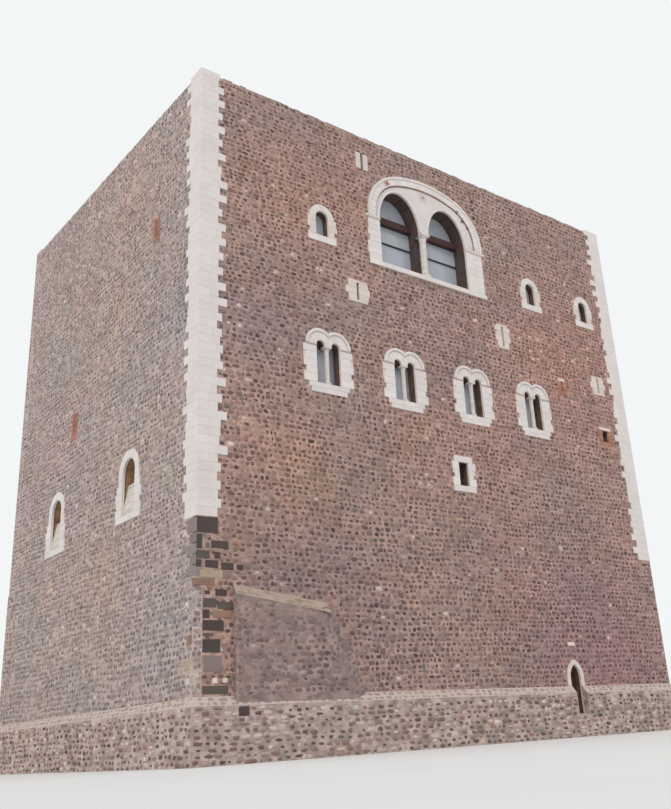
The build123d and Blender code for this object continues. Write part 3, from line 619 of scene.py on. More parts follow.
def plain_stone(name, colour, second, scale=3.0, courses=None, ledge=None, depth=None, mottled=False,
                far_rubble=False, stains=()):
    """Dressed stone or plaster of two tones, with what else a node asks for, among it painted shade deep in
    the openings.
    """
    s = Shader(name, 0.85)
    base = s.mix(s.spread(s.noise(scale, 6.0), 0.35, 0.65), colour, second)
    grain = s.grey(s.spread(s.noise(40.0), 0.3, 0.7, 0.88, 1.1))
    base = s.times(base, grain)
    if courses:
        level = s.math("MULTIPLY_ADD", s.noise(2.0), 0.03, s.part(s.place, "Z"))
        line = s.spread(s.math("PINGPONG", level, courses / 2), 0.004, 0.014, 0.45, 1.0)
        base = s.times(base, s.grey(line))
        s.bump(line, 0.5, 0.01)
    if mottled:
        base = s.shade(base, s.stones()[0][0], 0.0, 1.0, 0.68, 1.2)
    if far_rubble:
        turned = s.math("LESS_THAN", s.part(s.geometry("True Normal"), "X"), -0.5)
        far = s.math("MULTIPLY", turned, s.math("GREATER_THAN", s.part(s.place, "Y"), 0.0))
        base = s.mix(far, base, s.times(MORTAR_SIDE, grain))
    if ledge:
        up = s.part(s.geometry("True Normal"), "Z")
        base = s.mix(s.math("GREATER_THAN", up, 0.3), base, s.times(ledge, grain))
    if depth:
        # Painted shade: stone more than the given depth behind the outer faces, in the reveals of the
        # openings, turns dark brown.
        inner = s.mix(s.spread(s.noise(2.5), 0.4, 0.6), (0.080, 0.045, 0.037), (0.15, 0.078, 0.056))
        base = s.mix(s.recess_shade_share(depth), base, inner)
    for mark in stains:
        base = s.spot(base, *mark)
    s.colour(base)
    s.bump(s.noise(25.0, 5.0), 0.3, 0.01)
    return s.material


def timber(name, colour):
    """Old dark beams, rusty at one place, over thin black rails."""
    s = Shader(name, 0.7)
    grain = s.noise(6.0, 6.0, 0.6, s.stretch(0.4, 6.0, 6.0))
    beam = s.mix(s.spread(grain, 0.3, 0.7), colour, tuple(1.9 * c for c in colour))
    rail = s.math("LESS_THAN", s.part(s.place, "Z"), 21.2)
    s.colour(s.spot(s.mix(rail, beam, (0.018, 0.018, 0.022)), RUST, -0.45, 21.95, 0.5, 0.7))
    s.bump(grain, 0.3, 0.004)
    return s.material


def glazing(name):
    """Old panes that mirror a pale sky, a little wavy, over a dark room; their pale blue-grey colour, in soft
    patches, is a painted reflection of that sky.
    """
    s = Shader(name, 0.06, Specular_IOR_Level=0.6, Transmission_Weight=0.15)
    # Painted reflection: the pale blue-grey base colour stands in for the sky seen in the panes.
    tone = s.mix(s.spread(s.noise(0.5, 3.0), 0.3, 0.7), (0.45, 0.475, 0.56), (0.57, 0.585, 0.66))
    pane = s.spread(s.noise(0.9, 1.0, 0.5, s.stretch(1.6, 1.0, 0.7)), 0.5, 0.62, 0.0, 0.5)
    s.colour(s.mix(pane, tone, (0.50, 0.56, 0.56)))
    s.bump(s.noise(1.2, 2.0), 0.08, 0.05)
    return s.material


def paving(name):
    """Terracotta and lava tiles of the terrace."""
    s = Shader(name, 0.85)
    bricks = s.node("ShaderNodeTexBrick", Vector=s.place, Scale=1.0, Brick_Width=0.4, Row_Height=0.4,
                    Mortar_Size=0.012, Bias=0.0, Color1=(0.40, 0.27, 0.21), Color2=(0.30, 0.22, 0.18),
                    Mortar=(0.17, 0.14, 0.12), offset=0.5)
    s.colour(s.shade(bricks.outputs["Color"], s.noise(0.8, 6.0), 0.3, 0.7, 0.7, 1.15))
    s.bump(bricks.outputs["Fac"], -0.5, 0.01)
    s.bump(s.noise(30.0), 0.3, 0.005)
    return s.material


# Stains on the stones of the large window: colour, x, z, radius and strength
DARK_RUST = (0.13, 0.06, 0.04)
PINK_STAIN = (0.55, 0.36, 0.30)
WINDOW_STAINS = (
    (RUST, -2.92, 23.47, 0.20), (PINK_STAIN, -0.74, 23.48, 0.30, 0.7), (DARK_RUST, -0.72, 23.52, 0.07),
    (DARK_RUST, 1.37, 23.41, 0.10), (DARK_RUST, 1.70, 23.03, 0.13), (DARK_RUST, 1.99, 22.74, 0.11),
    (PINK_STAIN, 2.30, 21.62, 0.25, 0.5), (OLIVE_BLOCK, -1.2, 19.5, 0.16, 0.6),
    (DARK_RUST, -3.66, 21.98, 0.06),
)

LIMESTONE_BED = ((0.74, 0.69, 0.65), (0.64, 0.59, 0.54))
MATERIALS = {
    "mortar": mortar("lime_mortar"),
    "rubble": laid_stone("lava_rubble", 0.92, 0.30, 0.45, 0.5),
    "dressed": laid_stone("dressed_limestone", 0.85, 0.09, 0.08, 0.2, WINDOW_STAINS),
    "basalt": laid_stone("dressed_basalt", 0.85, 0.25, 0.35, 0.3),
    "brick": laid_stone("fired_brick", 0.9, 0.25, 0.2, 0.3),
    # depth=0.07 paints the stone of the openings dark brown from 7 cm behind the face, as painted shade.
    "limestone": plain_stone("limestone_bed", *LIMESTONE_BED, depth=0.07),
    "warm_limestone": plain_stone("limestone_warm", (0.72, 0.66, 0.60), (0.62, 0.55, 0.48), depth=0.07),
    "tympanum": plain_stone("limestone_tympanum", (0.745, 0.69, 0.67), (0.66, 0.60, 0.57), scale=1.2,
                            depth=0.07, stains=WINDOW_STAINS),
    "shaft": plain_stone("limestone_shaft", (0.73, 0.67, 0.62), (0.62, 0.55, 0.49), scale=5.0),
    "banded_shaft": plain_stone("banded_shaft", (0.74, 0.69, 0.66), (0.66, 0.60, 0.56), scale=5.0,
                                courses=0.305),
    "sill": plain_stone("limestone_sill", (0.74, 0.69, 0.64), (0.62, 0.56, 0.50)),
    "quoin_bed": plain_stone("quoin_bed", *LIMESTONE_BED, far_rubble=True),
    "facing": plain_stone("repair_mortar", (0.368, 0.262, 0.243), (0.262, 0.195, 0.187), scale=1.5,
                          ledge=(0.45, 0.350, 0.275), mottled=True),
    "footing": plain_stone("footing_mortar", (0.55, 0.44, 0.395), (0.36, 0.272, 0.245), scale=1.5,
                           ledge=(0.58, 0.47, 0.42), mottled=True),
    # The linings of the big window are painted near black brown: painted shade of its recesses.
    "reveal": plain_stone("dark_reveal", (0.105, 0.064, 0.056), (0.068, 0.047, 0.040), courses=0.3),
    "ochre": plain_stone("ochre_reveal", (0.42, 0.27, 0.13), (0.26, 0.11, 0.065), scale=1.6, courses=0.28),
    "lancet_sill": plain_stone("lancet_sill", (0.70, 0.65, 0.58), (0.60, 0.53, 0.45), courses=0.33),
    "floor": plain_stone("floor_stone", (0.34, 0.30, 0.27), (0.26, 0.23, 0.21)),
    "brick_bed": plain_stone("brick_mortar", (0.42, 0.30, 0.25), (0.34, 0.22, 0.18), depth=0.07),
    "timber": timber("dark_timber", (0.037, 0.014, 0.013)),
    "glass": glazing("window_glass"),
    "paving": paving("terrace_tiles"),
}

NODE_FINISH = {
    "basalt_quoins": "mortar", "limestone_quoins": "quoin_bed", "front_repair_facing": "facing",
    "roof_terrace": "paving", "big_window_linings": "reveal", "big_window_beams": "timber",
    "big_window_tympana": "tympanum", "big_window_columns": "banded_shaft", "bifora_colonnettes": "shaft",
    "brick_window_frames": "brick_bed", "lancet_sills": "lancet_sill", "lancet_linings": "ochre",
    "big_window_sills": "sill", "bifora_sills": "sill", "lancet_surrounds": "limestone",
}


def finish_of(node):
    if node in NODE_FINISH:
        return NODE_FINISH[node]
    for part, finish in (("glass", "glass"), ("floor", "floor"), ("_wall", "mortar")):
        if part in node:
            return finish
    return "warm_limestone"


def finish_nodes():
    for node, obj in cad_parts.items():
        obj.data.materials.clear()
        obj.data.materials.append(MATERIALS[finish_of(node)])


# Corner quoins

QUOIN = 0.60
QUOIN_COURSE = 0.31
NEIGHBOURS = {("front", -1): "left", ("front", 1): "right", ("back", -1): "right", ("back", 1): "left"}


def lay_quoins(piece, bottom, top, course, colour):
    """Courses of quoins round the arris, long on one face and then on the other, with ragged ends."""
    count = round((top - bottom) / course)
    step = (top - bottom) / count
    for number, ((side, hand), other) in enumerate(NEIGHBOURS.items()):
        for name, end, odd in ((side, hand, 1), (other, -hand, 0)):
            if name == "left" and end < 0:
                continue
            face = FACES[name]
            on = Dressing(piece, face)
            slow = waves(np.zeros(count), bottom + step * np.arange(count), 40 + 2 * number + odd, 5.0)
            for i in range(count):
                low = bottom + i * step
                tail = rng.uniform(0.06, 0.42) if i % 2 == odd else max(0.0, rng.uniform(-0.2, 0.16))
                reach = QUOIN + 0.07 + tail + 0.04 * (1 + slow[i]) + rng.uniform(0.0, 0.05)
                first = reach * rng.uniform(0.4, 0.75)
                arris = face.half + (0.0 if other == "left" and hand > 0 else SURFACE)
                marks = [arris, face.half - first, face.half - reach]
                for a, b in pairwise(marks):
                    on.box(end * a, end * b, low, low + step, colour, vary=0.025, joint=0.003, chamfer=0.003)


QUOIN_CORE = (0.65, 0.66)


def build_quoin_cores():
    """Plain piers behind the white quoins, the far left one flush with its wall, where only rubble shows."""
    cores = Piece()
    for x_hand in (-1, 1):
        for y_hand in (-1, 1):
            proud = 0.0 if (x_hand, y_hand) == (-1, 1) else PROUD
            x0, x1 = sorted((x_hand * (HALF_WIDTH - QUOIN_CORE[0]), x_hand * (HALF_WIDTH + proud)))
            y0, y1 = sorted((y_hand * (HALF_DEPTH - QUOIN_CORE[1]), y_hand * (HALF_DEPTH + PROUD)))
            ring = ((x0, y0), (x1, y0), (x1, y1), (x0, y1))
            points = np.array([(x, y, z) for z in (LIMESTONE_FOOT, CAP_TOP) for x, y in ring])
            cores.add(points, band(4) + [[3, 2, 1, 0], [4, 5, 6, 7]], LIMESTONE)
    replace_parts(cores.finish("quoin_cores", MATERIALS["quoin_bed"], "white_limestone"), "limestone_quoins")


# Blocks of the near corner below the white quoins: distances from the arris, levels and colour
CORNER_BLOCKS = (
    (0.0, 0.80, 7.04, 7.58, DARK_BLOCK), (0.0, 0.22, 6.50, 7.00, DARK_BLOCK),
    (0.50, 1.15, 6.56, 6.82, DARK_BLOCK), (0.0, 0.50, 6.20, 6.47, OLIVE_BLOCK),
    (0.62, 0.84, 6.25, 6.45, DARK_BLOCK), (0.0, 0.20, 5.92, 6.17, DARK_BLOCK),
    (0.29, 0.76, 5.92, 6.17, DARK_BLOCK), (0.90, 1.34, 5.90, 6.12, DARK_BLOCK),
    (1.48, 1.70, 5.92, 6.08, DARK_BLOCK), (0.10, 0.95, 5.60, 5.86, OCHRE_BLOCK),
    (0.0, 0.68, 5.36, 5.57, ORANGE_BLOCK), (0.12, 0.30, 5.07, 5.20, DARK_BLOCK),
    (0.52, 0.92, 5.05, 5.25, DARK_BLOCK), (0.05, 0.52, 4.66, 4.96, OLIVE_BLOCK),
    (0.58, 1.18, 4.62, 4.86, OLIVE_BLOCK), (0.04, 0.30, 4.32, 4.60, DARK_BLOCK),
    (0.40, 1.10, 4.35, 4.58, ORANGE_BLOCK), (0.04, 0.80, 3.95, 4.28, DARK_BLOCK),
    (0.05, 0.44, 3.78, 3.88, OLIVE_BLOCK), (0.04, 0.68, 3.28, 3.70, DARK_BLOCK),
    (0.08, 0.75, 2.70, 3.20, BROWN_BLOCK), (0.40, 0.58, 2.36, 2.54, LIMESTONE_WARM),
    (0.78, 0.95, 2.38, 2.53, LIMESTONE_WARM), (0.05, 0.96, 2.05, 2.30, OLIVE_BLOCK),
)
CORNER_SIDE_BLOCKS = (
    (0.0, 0.20, 5.37, 5.56, ORANGE_BLOCK), (0.06, 0.55, 2.80, 3.10, OCHRE_BLOCK),
    (0.15, 0.36, 2.36, 2.54, LIMESTONE_WARM), (0.02, 0.34, 3.55, 3.85, ORANGE_BLOCK),
    (0.0, 0.62, 7.06, 7.56, GREY_BLOCK), (0.0, 0.48, 6.72, 7.04, GREY_BLOCK),
    (0.0, 0.66, 6.36, 6.70, GREY_BLOCK), (0.0, 0.44, 6.02, 6.34, GREY_BLOCK),
    (0.0, 0.56, 5.66, 6.00, GREY_BLOCK),
)
WORN_BELOW = 5.3
WEAR = 0.17


def lay_corner_blocks(piece):
    """Squared dark blocks that make the near corner's arris, with a few of other stone."""
    for side, end, blocks in (("front", -1, CORNER_BLOCKS), ("left", 1, CORNER_SIDE_BLOCKS)):
        on = Dressing(piece, FACES[side])
        for start, reach, low, high, colour in blocks:
            if high < WORN_BELOW:
                start, reach = start + WEAR, reach + WEAR
            arris = on.face.half + (SURFACE if start == 0.0 else 0.0)
            on.box(end * (arris - start), end * (arris - reach), low, high, colour, near=-0.20, vary=0.1,
                   chamfer=0.012)


# Dressings of the openings: places along a wall from its middle, and levels

BIFORA_CENTRES = [-6.55 + 3.9 * i for i in range(4)]
BIFORA_FOOT = 12.8
BIFORA_SILL = 13.2
BIFORA_SPRING = 14.78
BIFORA_JAMB = 0.565
LIGHT_AXIS = 0.36
LIGHT_RADIUS = 0.205
LOBE_AXIS = 0.40
LOBE_RADIUS = 0.535
LABEL_START = 0.560
LABEL_END = 0.672


def lay_bifora(on, x):
    """Toothed jambs, sill stones, a voussoir fan over each light and a label along the two lobes."""
    on.toothed(x, BIFORA_JAMB, 1.04, BIFORA_SILL, BIFORA_SPRING - 0.07, 0.3, LIMESTONE)
    for low, high, half in ((BIFORA_FOOT, 13.0, 0.82), (13.0, BIFORA_SILL, 0.93)):
        on.row(x - half, x + half, low, high, 0.5, LIMESTONE)
    for hand in (-1, 1):
        light = np.array((x + hand * LIGHT_AXIS, BIFORA_SPRING))
        lobe = np.array((x + hand * LOBE_AXIS, BIFORA_SPRING))
        gap = light - lobe
        angles = np.linspace(0, 180, 8)
        for a, b in pairwise(angles):
            outer = []
            for angle in np.radians((a, b)):
                direction = np.array((hand * math.cos(angle), math.sin(angle)))
                along = direction @ gap
                reach = -along + math.sqrt(along ** 2 - gap @ gap + LOBE_RADIUS ** 2)
                if math.cos(angle) < -0.01:
                    reach = min(reach, 0.358 / -math.cos(angle))
                outer.append(light + reach * direction)
            inner = [light + LIGHT_RADIUS * np.array((hand * math.cos(t), math.sin(t)))
                     for t in np.radians((b, a))]
            on.block(outer + inner, LIMESTONE)
        start, end = (180, 53) if hand < 0 else (0, 127)
        on.arc(lobe, LOBE_RADIUS, LABEL_START, start, end, 6, FAINT_LINE, far=SURFACE + 0.004, chamfer=0.002)
        on.arc(lobe, LABEL_START, LABEL_END, start, end, 5, LIMESTONE, far=2.5 * PROUD + CLAD)
        on.box(x + hand * BIFORA_JAMB, x + hand * 1.08, BIFORA_SPRING - 0.068, BIFORA_SPRING - 0.028,
               PINK_LINE, far=RAISED, chamfer=0.004)


SMALL_CENTRES = (5.56 - HALF_WIDTH, 18.10 - HALF_WIDTH, 22.08 - HALF_WIDTH)
SMALL_SILL = 19.70
SMALL_SPRING = 20.54
SMALL_HALF = 0.32


def lay_small_window(on, x):
    on.toothed(x, SMALL_HALF, 0.60, SMALL_SILL, SMALL_SPRING, 0.28, LIMESTONE_WARM, False)
    on.row(x - 0.66, x + 0.66, SMALL_SILL - 0.30, SMALL_SILL, 0.45, LIMESTONE)
    on.arc((x, SMALL_SPRING), SMALL_HALF, 0.61, 180, 0, 7, LIMESTONE)


# Slits: centre, foot, head and half width of the surround
SLITS = (
    (7.25 - HALF_WIDTH, 17.11, 18.11, 0.60), (15.75 - HALF_WIDTH, 16.87, 18.10, 0.45),
    (22.40 - HALF_WIDTH, 15.76, 16.76, 0.54),
)
SLIT_MARGIN = 0.11


def lay_slit(on, slit):
    x, foot, head, half = slit
    sill, lintel = foot + SLIT_MARGIN, head - SLIT_MARGIN
    on.toothed(x, 0.065, half - SLIT_MARGIN, sill, lintel, 0.27, LIMESTONE_WARM, False)
    on.row(x - half + 0.2, x + half - 0.15, foot, sill, 0.5, LIMESTONE_WARM)
    on.row(x - half + 0.15, x + half - 0.2, lintel, head, 0.5, LIMESTONE_WARM)


SQUARE_CENTRE = 12.37 - HALF_WIDTH
SQUARE_SILL = 9.97
SQUARE_HEAD = 10.98
SQUARE_MARGIN = 0.26


def lay_square_window(on):
    x = SQUARE_CENTRE
    on.toothed(x, 0.275, 0.53, SQUARE_SILL, SQUARE_HEAD, 0.3, LIMESTONE)
    on.row(x - 0.6, x + 0.6, SQUARE_SILL - SQUARE_MARGIN, SQUARE_SILL, 0.5, LIMESTONE)
    on.row(x - 0.5, x + 0.5, SQUARE_HEAD, SQUARE_HEAD + SQUARE_MARGIN, 1.1, LIMESTONE)


SLOT_CENTRE = 7.88 - HALF_WIDTH


def lay_slot(on):
    x = SLOT_CENTRE
    for hand in (-1, 1):
        on.box(x + hand * 0.07, x + hand * 0.33, 23.75, 24.56, LIMESTONE_WARM)


# Brick-framed openings: centre, foot, head, half width of the frame and of the opening
FRONT_BRICKS = (
    (22.40 - HALF_WIDTH, 13.17, 14.05, 0.52, 0.23), (19.56 - HALF_WIDTH, 15.30, 16.12, 0.30, 0.06),
)
SIDE_BRICKS = (
    (14.40 - HALF_DEPTH, 19.52, 20.66, 0.26, 0.06), (6.90 - HALF_DEPTH, 13.29, 14.63, 0.28, 0.06),
)
BRICK_COURSE = 0.075
BRICK_LENGTH = 0.24
BRICK_SILL = 0.12
LINTEL = 0.15


def lay_bricks(on, opening, lintels=None):
    """Brick jambs and a brick sill, under a pale stone where there is one."""
    x, foot, head, half, clear = opening
    top = head - LINTEL
    v = foot
    while v < top - 0.01:
        height = min(BRICK_COURSE, top - v)
        jambs = [(hand * clear, hand * half) for hand in (-1, 1)]
        for start, end in jambs if v >= foot + BRICK_SILL else [(-half, half)]:
            on.row(x + start, x + end, v, v + height, BRICK_LENGTH, BRICK, chamfer=0.004, vary=0.25)
        v += height
    if lintels:
        lintels.box(x - 0.8 * half, x + 0.8 * half, top, head, LIMESTONE_WARM)


LANCETS = (5.43 - HALF_DEPTH, 12.67 - HALF_DEPTH)
LANCET_SILL = 8.76
LANCET_SPRING = 10.40
LANCET_HALF = 0.535


def lay_lancet(on, x):
    on.toothed(x, LANCET_HALF, 0.95, LANCET_SILL, 9.98, 0.3, LIMESTONE)
    on.row(x - 0.90, x + 0.90, LANCET_SILL - 0.24, LANCET_SILL, 0.5, LIMESTONE)
    for hand in (-1, 1):
        for low, high in ((9.98, 10.19), (10.19, LANCET_SPRING)):
            on.box(x + hand * LANCET_HALF, x + hand * 0.865, low, high, LIMESTONE)
    on.arc((x, LANCET_SPRING), LANCET_HALF, 0.87, 180, 0, 9, LIMESTONE)


POSTERN_CENTRE = 17.78 - HALF_WIDTH
POSTERN_SPRING = 2.33
POSTERN_RADIUS = 0.5785
POSTERN_OFFSET = 0.2535


def lay_postern(on):
    """Two arcs that meet in a point, a springing stone below each, and one pale stone higher up."""
    x = POSTERN_CENTRE
    for hand in (-1, 1):
        start, end = (180, 112) if hand < 0 else (0, 68)
        centre = (x - hand * POSTERN_OFFSET, POSTERN_SPRING)
        on.arc(centre, POSTERN_RADIUS, POSTERN_RADIUS + 0.2, start, end, 4, LIMESTONE_WARM)
        on.box(x + hand * 0.325, x + hand * 0.53, 1.99, POSTERN_SPRING, LIMESTONE_WARM)
    on.box(x - 0.24, x + 0.20, 3.60, 3.76, LIMESTONE_WARM)


BIG_CENTRE = 11.47 - HALF_WIDTH
BIG_HALF = 3.40
BIG_FOOT = 19.17
BIG_SILL = 19.39
BIG_SPRING = 21.44
BIG_IMPOST = 21.56
BIG_CORNER = 2.27
BIG_CORNER_LEVEL = 21.80
BIG_CROWN = 5.7253
BIG_CROWN_LEVEL = 18.5347
BIG_MEETING = 19.09
LIGHTS = (11.27 - HALF_WIDTH - 1.42, 11.27 - HALF_WIDTH + 1.42)
LIGHT_HALF = 1.16
LIGHT_RISE = 1.79
LIGHT_SPRING = 21.40


def lay_big_ring(on, near_inset, far_inset, stones, colour, **options):
    """One order of the outer arch, between two insets from its edge."""
    shift = BIG_HALF - BIG_CORNER
    for hand, start, end in ((-1, 180, 90 + BIG_MEETING), (1, 0, 90 - BIG_MEETING)):
        on.arc((BIG_CENTRE + hand * shift, BIG_CORNER_LEVEL), BIG_CORNER - far_inset, BIG_CORNER - near_inset,
               start, end, stones, colour, **options)
        on.box(BIG_CENTRE + hand * (BIG_HALF - near_inset), BIG_CENTRE + hand * (BIG_HALF - far_inset),
               BIG_IMPOST, BIG_CORNER_LEVEL, colour, **options)
    on.arc((BIG_CENTRE, BIG_CROWN_LEVEL), BIG_CROWN - far_inset, BIG_CROWN - near_inset, 90 + BIG_MEETING,
           90 - BIG_MEETING, stones, colour, **options)


def lay_big_window(on):
    """Two orders of arch stones, an edge of stones round each light, plain jambs and a thin sill."""
    lay_big_ring(on, 0.125, 0.415, 9, LIMESTONE, far=RAISED)
    lay_big_ring(on, -0.01, 0.12, 7, LIMESTONE, far=3 * PROUD + CLAD)
    # A thin red-brown strip laid over the groove between the ring and the tympanum.
    lay_big_ring(on, 0.415, 0.450, 9, GROOVE_BROWN, vary=0.25, chamfer=0.002)
    for x in LIGHTS:
        for a, b in pairwise(np.linspace(0.09, math.pi - 0.09, 12)):
            edge = around(np.linspace(a, b, 3))
            outer = (x, LIGHT_SPRING) + edge * (LIGHT_HALF + 0.11, LIGHT_RISE + 0.11)
            inner = (x, LIGHT_SPRING) + edge[::-1] * (LIGHT_HALF + 0.005, LIGHT_RISE + 0.005)
            on.block(np.concatenate((outer, inner)), LIMESTONE, joint=0.004, chamfer=0.004)
    courses = 7
    step = (BIG_SPRING - BIG_SILL) / courses
    left, right = BIG_CENTRE - BIG_HALF, BIG_CENTRE + BIG_HALF
    for i in range(courses):
        low = BIG_SILL + i * step
        ragged = rng.uniform(-0.02, 0.14)
        on.box(left - ragged, LIGHTS[0] - LIGHT_HALF, low, low + step, LIMESTONE)
        on.row(LIGHTS[1] + LIGHT_HALF, right, low, low + step, 0.6, LIMESTONE, vary=0.03, joint=0.004,
               chamfer=0.004)
    on.row(left - 0.06, right + 0.06, BIG_FOOT, 19.385, 0.7, LIMESTONE, far=RAISED)


# Footing, repair facing and wall top

FOOTING_FACE = FOOTING_PROUD - FOOTING_STONE
FOOTING_BED = (0.4, 0.33, 0.3)
SLOPE_STONE = (0.47, 0.38, 0.34)
DOOR = (5.305, 5.955)
DOOR_SILL = 0.90


def lay_footing_bed(piece, face, start, end, top):
    """A stretch of the footing, mitred where it ends at a corner, with a sloping top if it is full height."""
    profile = [(0.0, 0.0), (0.0, FOOTING_FACE), (min(top, FOOTING_SHOULDER), FOOTING_FACE), (top, 0.0)]
    if top > FOOTING_SHOULDER:
        profile.insert(3, (top, SURFACE))
    v, w = np.array(profile).T
    near = -(face.half + w) if start is None else np.full(len(v), start)
    far = face.half + w if end is None else np.full(len(v), end)
    n = len(v)
    points = np.concatenate((face.place(near, v, w), face.place(far, v, w)))
    ends = [list(range(n))[::-1], list(range(n, 2 * n))]
    piece.add(points, band(n) + ends, FOOTING_BED)


def lay_slope(piece, face, number):
    """Rubble on the sloping top of the footing, small and rather pale."""
    rise = FOOTING_TOP - FOOTING_SHOULDER
    run = FOOTING_FACE - SURFACE
    length = math.hypot(rise, run)
    up = (rise * face.up - run * face.out) / length
    start = face.origin + FOOTING_FACE * face.out + FOOTING_SHOULDER * face.up
    slope = Face(start, face.right, up, 2 * face.half, length)

    def allowed(u, v):
        inside = (np.abs(u) < face.half) & (v > 0.02) & (v < length - 0.02)
        if face is FACES["front"]:
            inside &= (u < DOOR[0] - 0.04) | (u > DOOR[1] + 0.04)
        return inside

    def colours(u, v, draw):
        own = stone_colours(u, v, draw, STONES_FOOTING, 0.03, 90 + number)
        return 0.4 * own + 0.6 * np.array(SLOPE_STONE)

    lay_rubble(piece, slope, (-face.half, face.half, 0.0, length), 0.32, 0.18, colours, proud=(0.004, 0.014),
               fill=(0.6, 1.0), allowed=allowed)


def build_footing():
    bed = Piece()
    stones = Piece()
    for number, (side, face) in enumerate(FACES.items()):
        front = side == "front"
        if front:
            lay_footing_bed(bed, face, None, DOOR[0], FOOTING_TOP)
            lay_footing_bed(bed, face, DOOR[0], DOOR[1], DOOR_SILL)
            lay_footing_bed(bed, face, DOOR[1], None, FOOTING_TOP)
        else:
            lay_footing_bed(bed, face, None, None, FOOTING_TOP)
        lay_slope(stones, face, number)
        reach = face.half + FOOTING_FACE - 0.02

        def allowed(u, v):
            inside = (np.abs(u) < reach) & (v > 0.01) & (v < FOOTING_SHOULDER - 0.06)
            if front:
                inside &= (u < DOOR[0] - 0.02) | (u > DOOR[1] + 0.02) | (v < DOOR_SILL - 0.02)
            return inside

        colours = partial(stone_colours, shades=STONES_FOOTING, chips=0.05, seed=60 + number)
        lay_rubble(stones, face, (-reach, reach, 0.0, FOOTING_SHOULDER), 0.34, 0.18, colours,
                   base=FOOTING_FACE, proud=(0.008, 0.034), fill=(0.36, 1.05), allowed=allowed)
        if front:
            Dressing(stones, face).box(-10.78, -10.42, 1.38, 1.66, DARK_BLOCK, far=FOOTING_FACE + 0.03)
    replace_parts(bed.finish("footing_bed", MATERIALS["footing"], "footing_rubble"), "rubble_footing")
    stones.finish("footing_stones", MATERIALS["rubble"], "footing_rubble", smooth=True)


# Repair facing: distances along the front from its left end, and levels
FACING_TOP = ((1.33, 5.10), (5.2, 4.60))
FACING_PROUD = 0.21
LEDGE_DROP = 0.33
TAPER_CORNER = (5.2, 4.95)
TAPER_END = 6.9
TAPER_RUN, TAPER_FALL = 1.7, 3.25
TAPER_WIDTH = 0.8
FACING_STONE = (0.255, 0.188, 0.176)
LEDGE = (0.45, 0.340, 0.280)


def build_facing():
    """Rubble on the ledge, the front, the left end and the slanting right end of the repair facing."""
    stones = Piece()
    (near, high), (far, low) = FACING_TOP
    left = near - HALF_WIDTH

    def top_at(u):
        return high + (low - high) * (u + HALF_WIDTH - near) / (far - near)

    def allowed(u, v):
        along = u + HALF_WIDTH
        right = TAPER_END - TAPER_WIDTH - (v - FOOTING_SHOULDER) * TAPER_RUN / TAPER_FALL
        inside = (along > near + 0.03) & (along < right - 0.05)
        return inside & (v > FOOTING_TOP + 0.02) & (v < top_at(u) - 0.04)

    def colours(u, v, draw):
        share = (0.9 - 2.2 * (top_at(u) - v)).clip(0.0, 0.8)[:, None]
        dark = 1.0 - 0.22 * np.exp(-((u + 7.4) ** 2 + (v - 2.9) ** 2) / 1.6 ** 2)[:, None]
        plain = 0.62 * stone_colours(u, v, draw, STONES_FRONT, 0.01, 71) + 0.38 * np.array(FACING_STONE)
        return plain * dark * (1 - share) + share * np.array(LEDGE) * rng.uniform(0.8, 1.1, (len(u), 1))

    def ledge_colours(u, v, draw):
        return np.array(LEDGE) * rng.uniform(0.72, 1.08, (len(u), 1))

    middle = ((near + far) / 2 - HALF_WIDTH, -HALF_DEPTH - FACING_PROUD, (high + low) / 2 + 0.02)
    along = np.array((far - near, 0.0, low - high))
    across = np.array((0.0, FACING_PROUD, LEDGE_DROP))
    length, width = np.linalg.norm(along), np.linalg.norm(across)
    ledge = Face(middle, along / length, across / width, length, width)
    lay_rubble(stones, ledge, (-length / 2, length / 2, -0.03, width), 0.34, 0.17, ledge_colours,
               proud=(0.002, 0.006), fill=(0.8, 1.3), allowed=within(length / 2, -0.05, width))

    area = (left, 6.1 - HALF_WIDTH, FOOTING_TOP, 5.2)
    lay_rubble(stones, FACES["front"], area, 0.30, 0.20, colours, base=FACING_PROUD, proud=(0.006, 0.016),
               fill=(0.5, 1.0), allowed=allowed)

    place = (left, -HALF_DEPTH - FACING_PROUD / 2, 0)
    start = Face(place, (0, -1, 0), (0, 0, 1), FACING_PROUD, high)
    lay_rubble(stones, start, (-0.1, 0.1, FOOTING_TOP, high), 0.2, 0.20, colours, proud=(0.004, 0.014),
               fill=(0.6, 0.95), allowed=within(0.1, FOOTING_TOP + 0.1, high - 0.05))

    corner = np.array((TAPER_CORNER[0] - HALF_WIDTH, -HALF_DEPTH, TAPER_CORNER[1]))
    edge = np.array((TAPER_RUN, 0.0, -TAPER_FALL))
    edge /= np.linalg.norm(edge)
    inward = np.array((-TAPER_WIDTH, -FACING_PROUD, 0.0))
    inward = inward - (inward @ edge) * edge
    width = np.linalg.norm(inward)
    taper = Face(corner, -inward / width, -edge, 2 * width, 4.0)

    def on_taper(u, v):
        height = TAPER_CORNER[1] + v * -edge[2]
        inside = (u > 0.03 - width) & (u < -0.03)
        return inside & (height > FOOTING_TOP + 0.08) & (height < 4.55 + 0.5 * (u + width))

    lay_rubble(stones, taper, (-width, 0.0, -3.6, 0.0), 0.28, 0.20, colours, proud=(0.004, 0.012),
               fill=(0.5, 1.0), allowed=on_taper)
    stones.finish("facing_stones", MATERIALS["rubble"], "repair_facing", smooth=True)


EDGE_DEPTH = 0.32


